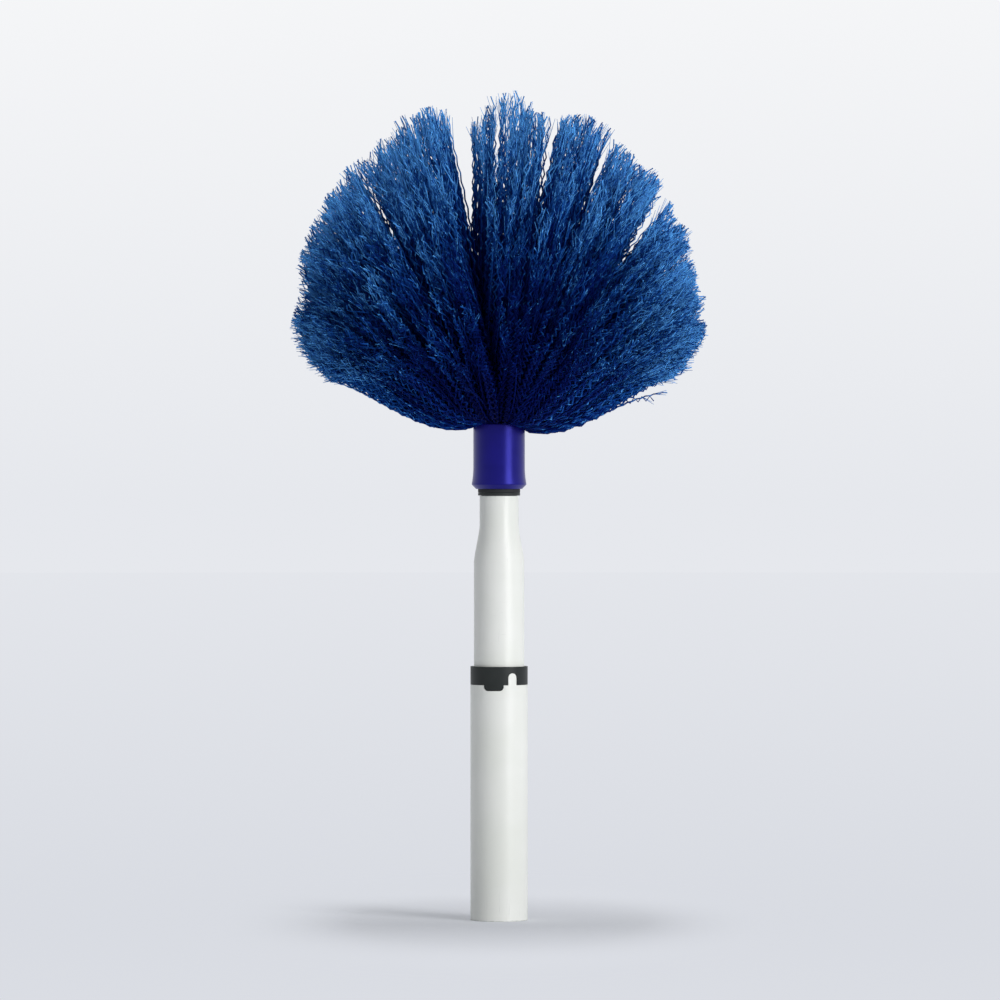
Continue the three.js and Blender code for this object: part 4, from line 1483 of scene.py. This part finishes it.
# %% Path of a strand
FAN_START = 9.0
CORE_ROOM = 6.8
LIP_ROOM = 2.0
LIP_END = 0.1
LOCK_GRIP = (0.25, 1.0)
PARTING_OPENS = (0.4, 1.0)
BUTT_SINK = 5.4
BUTT_INNER = 4.3
BUTT_OUTER = 7.9
butt_level = collar_top - BUTT_SINK


class Path(Course):
    """Where a strand lies at each step."""

    def at(self, step):
        """The place after a number of steps, the share along, and a function for directions beside it."""
        along = self.along(step)
        polar = self.polar(along)
        held, opened = eased(along, *LOCK_GRIP), eased(along, *PARTING_OPENS)
        going = self.drawn(ray(polar, self.turn), held, opened)
        outward = xyz(self.tree, call("COSINE", self.turn), call("SINE", self.turn), 0.0)
        beside = xyz(self.tree, call("SINE", self.turn) * -1.0, call("COSINE", self.turn), 0.0)
        across = vector_call("CROSS_PRODUCT", going, beside)

        def sideways(angle):
            return beside * call("COSINE", angle) + across * call("SINE", angle)

        rise = call("COSINE", polar)
        room = call("MAXIMUM", rise, 0.0) * (1.0 - along) ** 2 * (CORE_ROOM * MM)
        dip = call("MAXIMUM", rise * -1.0, 0.0) / -math.cos(ROOT_SPREAD)
        over_lip = (1.0 - eased(along, 0.0, LIP_END)) * dip * (LIP_ROOM * MM)
        fan = xyz(self.tree, 0.0, 0.0, over_lip + fan_centre * MM)
        fan = fan + going * between(FAN_START * MM, self.length(), along) + outward * room
        fan = fan + self.ripple(step, along, sideways)

        ring = call("SQRT", between(BUTT_INNER**2, BUTT_OUTER**2, self.share)) * MM
        butt = outward * ring + xyz(self.tree, 0.0, 0.0, butt_level * MM)
        return between(butt, fan, call("MINIMUM", step, 1.0)), along, sideways


print("centre of the fan in mm:", round(fan_centre, 2))

# %% [markdown]
# Wear goes with the distance from the collar, and some strands differ. Painted light and shade are added
# to it. Strands that point to the front or the back get painted shade, as one looks end-on into the dark
# gaps between them, and so do low ones. Strands at the sides are painted paler down to the collar, the
# outer ones most, except for the undermost, which get painted shade. Locks differ as streaks, and the
# crests of the crimp get a painted highlight.

# %% Wear, painted light and shade of a strand
OUTER_SHEEN_POWER = 4
SHADED_POWER = 10
PALE_SIDES = (25.0, 60.0)
STREAK_RANGE = (-0.5, 0.5)


class Strand(Path):
    """The whole rule of one strand."""

    def wear(self, step, along):
        """How pale a strand is, from about 0 when new to 1 when bleached, with painted light and shade
        added.
        """
        # Painted light: the sides are paler towards the collar and the outer strands along their length,
        # but the undermost get painted shade.
        sidelong = eased(call("ABSOLUTE", self.side), *PALE_SIDES)
        outer = self.share**OUTER_SHEEN_POWER * (1.0 - self.share**SHADED_POWER) * (1.0 - self.frontal)
        outer = outer * self.given["Outer Sheen"]
        painted_light = (outer + sidelong * self.given["Side Light"] * (1.0 - along)) * (1.0 - along)
        # Painted shade on strands that point to the front or back, and on low ones.
        painted_shade = self.frontal * self.given["Front Shade"] + (1.0 - self.up) * self.given["Low Shade"]
        streak = random(self.given, self.lock, "streak", *STREAK_RANGE) * self.given["Lock Streak"]
        # A painted highlight on the crests of the crimp.
        glint = self.zigzag(step, along) * self.chance("glint", -1.0, 1.0) * self.given["Crimp Glint"]
        return along * (1.0 + streak - painted_shade) + glint + painted_light


print("sides pale from", PALE_SIDES[0], "to", PALE_SIDES[1], "degrees")

# %% [markdown]
# A colour that changes from strand to strand can only be carried to other programs in a texture, and a
# texture needs a place for every face. An automatic unwrap would crumble thousands of thin strands into
# dust. The tree knows better: it stores a UV map on which each strand has a strip of its own, one way
# along the strand and the other way round it.

# %% A map with a strip for each strand
MAP_TITLE = "OFBake"
BUTT_BAND = 0.03
SHAFT_TOP = 0.8
SHAFT_BAND = (BUTT_BAND, SHAFT_TOP, 12)
HAIR_BAND = (SHAFT_TOP, 1.0, 48)
SECTION_SIDES = 3
NEARLY = 0.1


def stored(geometry, title, value, **settings):
    tree = geometry.tree
    return place(tree, "GeometryNodeStoreNamedAttribute", geometry, None, title, value, **settings)


def recalled(tree, title):
    return place(tree, "GeometryNodeInputNamedAttribute", title)


def unrolled(mesh, count, rings, band):
    """Stores the map for a count of strands of so many rings, in a band from low to high with columns."""
    low, high, columns = band
    tree = mesh.tree
    lane, ring, side = [recalled(tree, title) for title in ("lane", "ring", "side")]
    # On the face that closes the round, the first corner counts as one past the last.
    middle = place(tree, "GeometryNodeFieldOnDomain", side, data_type="FLOAT", domain="FACE")
    closing = call("COMPARE", middle, 1.0, NEARLY) * call("LESS_THAN", side, 0.5)
    wrap = (0.5 + side + closing * SECTION_SIDES) / (SECTION_SIDES + 1.0)
    # A cap would lie flat on the map as a line, so one corner is folded out past the strand's end.
    cap = call("LESS_THAN", place(tree, "GeometryNodeInputMeshFaceNeighbors"), SECTION_SIDES + 0.5)
    end = call("SIGN", ring / (rings - 1.0) - 0.5)
    fold = cap * call("COMPARE", side, 1.0, NEARLY) * end / 2.0
    east = (call("MODULO", lane, columns) + (ring + 1.0 + fold) / (rings + 1.0)) / columns
    row = call("FLOOR", lane / columns)
    rows = call("CEIL", count / columns)
    north = low + (row + wrap) / rows * (high - low)
    mapped = stored(mesh, MAP_TITLE, xyz(tree, east, north, 0.0), data_type="FLOAT2", domain="CORNER")
    for title in ("lane", "ring", "side", "thick"):
        mapped = place(tree, "GeometryNodeRemoveAttribute", mapped, title)
    return mapped


print("map columns:", SHAFT_BAND[2], "for shafts,", HAIR_BAND[2], "for hairs")

# %% [markdown]
# Each strand is a three-sided shaft that swells from its root and thins to its tip, where two finer hairs
# split off: such filaments are flagged, which means that their ends are split so that they hold dust.
# Three sides are enough, because thousands of strands only show their colour and their shadow.

# %% Sweeping strands
def strand_curves(tree, count, points):
    """A count of short curves with this many points each, ready to be laid along their strands."""
    line = place(tree, "GeometryNodeCurvePrimitiveLine")
    even = place(tree, "GeometryNodeResampleCurve", line, None, points)
    spots = place(tree, "GeometryNodePoints", count)
    copies = place(tree, "GeometryNodeInstanceOnPoints", spots, None, even)
    return place(tree, "GeometryNodeRealizeInstances", copies)


def swept_strands(curves, path, **kept):
    """Curves moved to their paths and swept to thin strands, which keep their paleness from use and painted
    light, their tone and their thickness.
    """
    tree = curves.tree
    curve = place(tree, "GeometryNodeCurveOfPoint")
    for title, value in {**kept, "lane": curve, "ring": curve.other("Index in Curve")}.items():
        curves = stored(curves, title, value)
    laid = place(tree, "GeometryNodeSetPosition", curves, None, path)
    section = place(tree, "GeometryNodeCurvePrimitiveCircle", SECTION_SIDES, 1.0)
    section = stored(section, "side", place(tree, "GeometryNodeInputIndex"))
    return place(tree, "GeometryNodeCurveToMesh", laid, section, recalled(tree, "thick"), True)


print("sides of a strand:", SECTION_SIDES)

# %% Shafts and hairs
SWELLS = (0.0, 0.25)
THINS = (0.6, 1.0)
HAIRS = 2
HAIR_POINTS = 2
HAIR_STEPS = 3
HAIR_TAPER = 0.45
HAIR_WEAR = 0.08
HAIR_RANGE = (0.3, 1.0)


def shafts(tree, given, locks):
    curve = place(tree, "GeometryNodeCurveOfPoint")
    strand = Strand(given, locks, curve)
    step = curve.other("Index in Curve")
    path, along, _ = strand.at(step)
    belly = between(given["Root Radius"], given["Belly Radius"], eased(along, *SWELLS))
    radius = between(belly, given["Tip Radius"], eased(along, *THINS))
    rings = given["Steps"] + 1.0
    curves = strand_curves(tree, given["Strands"], rings)
    look = {"wear": strand.wear(step, along), "tone": strand.chance("tone"), "thick": radius}
    return unrolled(swept_strands(curves, path, **look), given["Strands"], rings, SHAFT_BAND)


def hairs(tree, given, locks):
    hair = place(tree, "GeometryNodeCurveOfPoint")
    end = hair.other("Index in Curve")
    strand = Strand(given, locks, call("FLOOR", hair / HAIRS))
    step = given["Steps"] - HAIR_STEPS + end * HAIR_STEPS
    path, along, sideways = strand.at(step)
    splay = sideways(random(given, hair, "hair side", 0.0, math.tau))
    spread = end * given["Hair Spread"] * random(given, hair, "hair reach", *HAIR_RANGE)
    radius = given["Hair Radius"] * (1.0 - end * HAIR_TAPER)
    wear = strand.wear(step, along) + HAIR_WEAR
    count = given["Strands"] * HAIRS
    curves = strand_curves(tree, count, HAIR_POINTS)
    look = {"wear": wear, "tone": random(given, hair, "hair tone"), "thick": radius}
    swept = swept_strands(curves, path + splay * spread, **look)
    return unrolled(swept, count, float(HAIR_POINTS), HAIR_BAND)


print("hairs at each tip:", HAIRS)

# %% The hank tree
hank, given = geometry_tree("bristle_hank", {**head_sizes, **head_counts})
number = place(hank, "GeometryNodeInputIndex")
polar, turn, _ = spread_out(given, number, given["Locks"], "lock ")
locks = place(hank, "GeometryNodePoints", given["Locks"], ray(polar, turn))
joined = place(hank, "GeometryNodeJoinGeometry", shafts(hank, given, locks))
hank.links.new(hairs(hank, given, locks).socket, joined.socket.node.inputs[0])
close_tree(hank, joined, filament)
print("nodes in the hank's tree:", len(hank.nodes))

# %% [markdown]
# The butts of a hank are stuck together where the wire binds them, so each hank also has a solid quarter
# ring in the cup, with a flange below and a waist for the wire. The strands grow out of it. It is turned
# by a quarter only, and its faces get cells of their own below the strands on the map.

# %% Bound butts
BUTT_COLUMNS = 24
BUTT_GAP = math.radians(1.0)
BUTT_FLANGE = 1.25
BUTT_HEIGHT = 6.8
BUTT_SHOULDER = 0.6
CELL_REACH = 0.4
WIRE_DIAMETER = 1.0
CORE_STEM = 3.2
flange_outer = cup_radius - FIT_GAP
waist = flange_outer - WIRE_DIAMETER - FIT_GAP
hank_foot = levels("bristle_hank_1")[0]
butt_outline = rounded(
    [
        (CORE_STEM + FIT_GAP, hank_foot, 0),
        (flange_outer, hank_foot, SOFT_ROUND),
        (flange_outer, hank_foot + BUTT_FLANGE, FINE_ROUND),
        (waist, hank_foot + BUTT_FLANGE, FINE_ROUND),
        (waist, hank_foot + BUTT_HEIGHT, BUTT_SHOULDER),
        (CORE_STEM + FIT_GAP, hank_foot + BUTT_HEIGHT, 0),
    ]
)


def add_butt(filaments, first):
    """Joins the bound butt of a hank to its strands, from a first turn on."""
    shape = bmesh.new()
    shape.from_mesh(filaments.data)
    slices = []
    for column in range(BUTT_COLUMNS + 1):
        turn = first + BUTT_GAP + (QUARTER - 2 * BUTT_GAP) * column / BUTT_COLUMNS
        ahead = Vector((math.cos(turn), math.sin(turn), 0.0))
        slices.append([shape.verts.new((ahead * r + Vector((0, 0, z))) * MM) for r, z in butt_outline])
    loops = [slices[0], slices[-1]]
    for here, following in zip(slices, slices[1:]):
        loops += [[here[i - 1], following[i - 1], following[i], here[i]] for i in range(len(here))]
    made = [shape.faces.new(loop) for loop in loops]
    bmesh.ops.recalc_face_normals(shape, faces=made)
    spot = shape.loops.layers.uv[MAP_TITLE]
    for number, face in enumerate(made):
        for corner, loop in enumerate(face.loops):
            turn = math.tau * (corner + 0.5) / len(face.loops)
            across = (number + 0.5 + CELL_REACH * math.cos(turn)) / len(made)
            loop[spot].uv = (across, (0.5 + CELL_REACH * math.sin(turn)) * BUTT_BAND)
    shape.to_mesh(filaments.data)
    shape.free()


print("radius of the waist in mm:", round(waist, 2))

# %% [markdown]
# One tree makes all four hanks. Each is a quarter of the fan with its own first turn and its own seed, so
# no two of them are alike, and each becomes a plain mesh that rides on the head.

# %% The four hanks
SEED_STEP = 100
for number in range(HANKS):
    first = QUARTER * (number - 1)
    values = {"First Turn": first, "Seed": head_counts["Seed"] + SEED_STEP * number}
    filaments = grown(f"filaments_{number + 1}", hank, values)
    add_butt(filaments, first)
    stands_for(filaments, "head", "blue_filament", f"bristle_hank_{number + 1}")

# %% [markdown]
# A mushroom-shaped core spreads the hanks. It is turned like the other round pieces, with a domed cap, a
# stem that flares into it, and a blind hole for the screw.

# %% Core
CORE_CAP = 5.0
CORE_STEM_LENGTH = 8.0
CORE_FLARE = 3.0
STEM_FILLET = 1.5
CAP_EDGE = 0.8
SCREW_ROOM = 0.4
CAP_STEPS = 12
CORE_SIDES = 64
core_foot, core_top = levels("spreader_core")
screw_foot, screw_top = levels("core_screw")
cap_foot = core_foot + CORE_STEM_LENGTH + CORE_FLARE
core_corners = [
    (0, screw_top + SCREW_ROOM, 0),
    (SCREW_HOLE, screw_top + SCREW_ROOM, 0),
    (SCREW_HOLE, core_foot, FINE_ROUND),
    (CORE_STEM, core_foot, SOFT_ROUND),
    (CORE_STEM, core_foot + CORE_STEM_LENGTH, STEM_FILLET),
    (CORE_CAP, cap_foot, CAP_EDGE),
]
for step in range(1, CAP_STEPS + 1):
    angle = QUARTER * step / CAP_STEPS
    core_corners.append((CORE_CAP * math.cos(angle), cap_foot + (core_top - cap_foot) * math.sin(angle), 0))
core = turned_piece("spreader_core_moulded", core_corners, nylon, CORE_SIDES)
stands_for(core, "head", "natural_nylon", "spreader_core")

# %% [markdown]
# A flat steel washer spreads the pull of the screw's head over the collar's floor. It is stamped, so its
# upper edge is rounder than the lower one.

# %% Core washer
disc_foot, disc_top = levels("core_washer")
disc_radius = outer_radius("core_washer")
disc_corners = [
    (SCREW_HOLE, disc_foot, TINY_ROUND),
    (disc_radius, disc_foot, FINE_ROUND),
    (disc_radius, disc_top, SOFT_ROUND),
    (SCREW_HOLE, disc_top, TINY_ROUND),
]
core_washer = turned_piece("core_washer_plated", disc_corners, zinc, CORE_SIDES)
stands_for(core_washer, "head", "zinc_steel", "core_washer")

# %% [markdown]
# The screw goes up through the collar's floor into the core and pulls it down. Its shank and its domed
# head are turned, its thread comes from the winding tree, and the cross recess in its head is cut out with
# two bars.

# %% Bars
CROSS = (0, 90)


def bar(name, length, width, foot, top, turn, material):
    """A straight bar through the axis, turned by some degrees."""
    ahead = Vector((math.cos(math.radians(turn)), math.sin(math.radians(turn)), 0.0)) * (length / 2)
    aside = Vector((-ahead.y, ahead.x, 0.0)).normalized() * (width / 2)
    square = [-ahead - aside, ahead - aside, ahead + aside, aside - ahead]
    places = [corner + Vector((0.0, 0.0, level)) for level in (foot, top) for corner in square]
    sides = [(i, (i + 1) % QUAD, (i + 1) % QUAD + QUAD, i + QUAD) for i in range(QUAD)]
    return piece(name, places, [(3, 2, 1, 0), (4, 5, 6, 7), *sides], material)


print("bars of a cross at", CROSS, "degrees")

# %% Screw
SCREW_CORE = 1.15
SCREW_CREST = 1.48
SCREW_SINK = 0.1
SCREW_PITCH = 1.1
SCREW_TURNS = 7
SCREW_TURN_STEPS = 24
SCREW_RUN_OUT = 0.7
SCREW_POINT = 2.0
SCREW_HEAD = 2.2
SCREW_DOME = 0.8
SCREW_FILLET = 0.15
SCREW_SIDES = 48
RECESS_LENGTH = 3.2
RECESS_WIDTH = 0.75
RECESS_DEPTH = 1.2
head_radius = outer_radius("core_screw")
head_top = screw_foot + SCREW_HEAD
point_foot = screw_top - SCREW_POINT
screw_corners = [
    (0, screw_foot, 0),
    (head_radius / 2, screw_foot, SCREW_DOME),
    (head_radius, screw_foot + SCREW_HEAD / 2, SCREW_DOME),
    (head_radius, head_top, FINE_ROUND),
    (SCREW_CORE, head_top, SCREW_FILLET),
    (SCREW_CORE, point_foot, FULL_ROUND),
    (0, screw_top, 0),
]
screw = turned_piece("core_screw_plated", screw_corners, zinc, SCREW_SIDES)
plated_winding = winding_tree("plated_winding", zinc)
screw_thread = wound(
    "screw_thread",
    plated_winding,
    radius=SCREW_CORE - SCREW_SINK,
    foot=point_foot - SCREW_TURNS * SCREW_PITCH,
    pitch=SCREW_PITCH,
    thickness=SCREW_CREST - SCREW_CORE + SCREW_SINK,
    turns=SCREW_TURNS,
    turn_steps=SCREW_TURN_STEPS,
    run_out=SCREW_RUN_OUT,
)
merged(screw, screw_thread)
for turn in CROSS:
    recess = (RECESS_LENGTH, RECESS_WIDTH, screw_foot - RECESS_DEPTH, screw_foot + RECESS_DEPTH)
    merged(screw, bar("recess", *recess, turn, zinc), "DIFFERENCE")
stands_for(screw, "head", "zinc_steel", "core_screw")

# %% [markdown]
# The wire winds twice round the waist of the butts and holds the hanks together. It is the same winding
# with a round section and blunt ends.

# %% Binding wire
WIRE_PITCH = 1.45
WIRE_TURNS = 2
WIRE_TURN_STEPS = 72
WIRE_SIDES = 12
wire = wound(
    "binding_wire_plated",
    plated_winding,
    radius=waist + FIT_GAP + WIRE_DIAMETER / 2,
    foot=levels("binding_wire")[0] + WIRE_DIAMETER / 2,
    pitch=WIRE_PITCH,
    thickness=WIRE_DIAMETER / 2,
    turns=WIRE_TURNS,
    turn_steps=WIRE_TURN_STEPS,
    sides=WIRE_SIDES,
)
wire.data.set_sharp_from_angle(angle=SHARP_ANGLE)
stands_for(wire, "head", "zinc_steel", "binding_wire")

# %% [markdown]
# A nylon cup with a cross web closes the pole's foot. The cup is turned, and two bars are fused into it
# for the web. They sink a little into its wall and floor, so that the Boolean leaves no gap.

# %% End plug
PLUG_WALL = 1.6
PLUG_FLOOR = 2.2
PLUG_LEAD_IN = 0.8
PLUG_FILLET = 0.5
PLUG_WEB = 1.4
WEB_SINK = 0.4
WEB_DROP = 1.0
end_radius = lower_bore - FIT_GAP
end_foot, end_top = levels("end_plug")
hollow = end_radius - PLUG_WALL
floor_top = end_foot + PLUG_FLOOR
plug_corners = [
    (0, end_foot, 0),
    (end_radius, end_foot, SOFT_ROUND),
    (end_radius, end_top, PLUG_LEAD_IN),
    (hollow, end_top, SOFT_ROUND),
    (hollow, floor_top, PLUG_FILLET),
    (0, floor_top, 0),
]
end_plug = turned_piece("end_plug_moulded", plug_corners, nylon)
for turn in CROSS:
    web = (2 * (hollow + WEB_SINK), PLUG_WEB, floor_top - WEB_SINK, end_top - WEB_DROP)
    merged(end_plug, bar("web", *web, turn, nylon))
stands_for(end_plug, "lower_pole", "natural_nylon", "end_plug")

# %% [markdown]
# The lock inside the pole already has its true shape in the frame, a ribbed spindle with an offset journal
# and a split ring with teeth. Making it again would gain nothing, so those two keep their meshes and only
# get a finish.

# %% Lock
LOCK_NODES = ("cam_spindle", "lock_ring")
for node in LOCK_NODES:
    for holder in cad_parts[node].material_slots:
        holder.material = nylon
print("carried over in", nylon.name, "are", *LOCK_NODES)
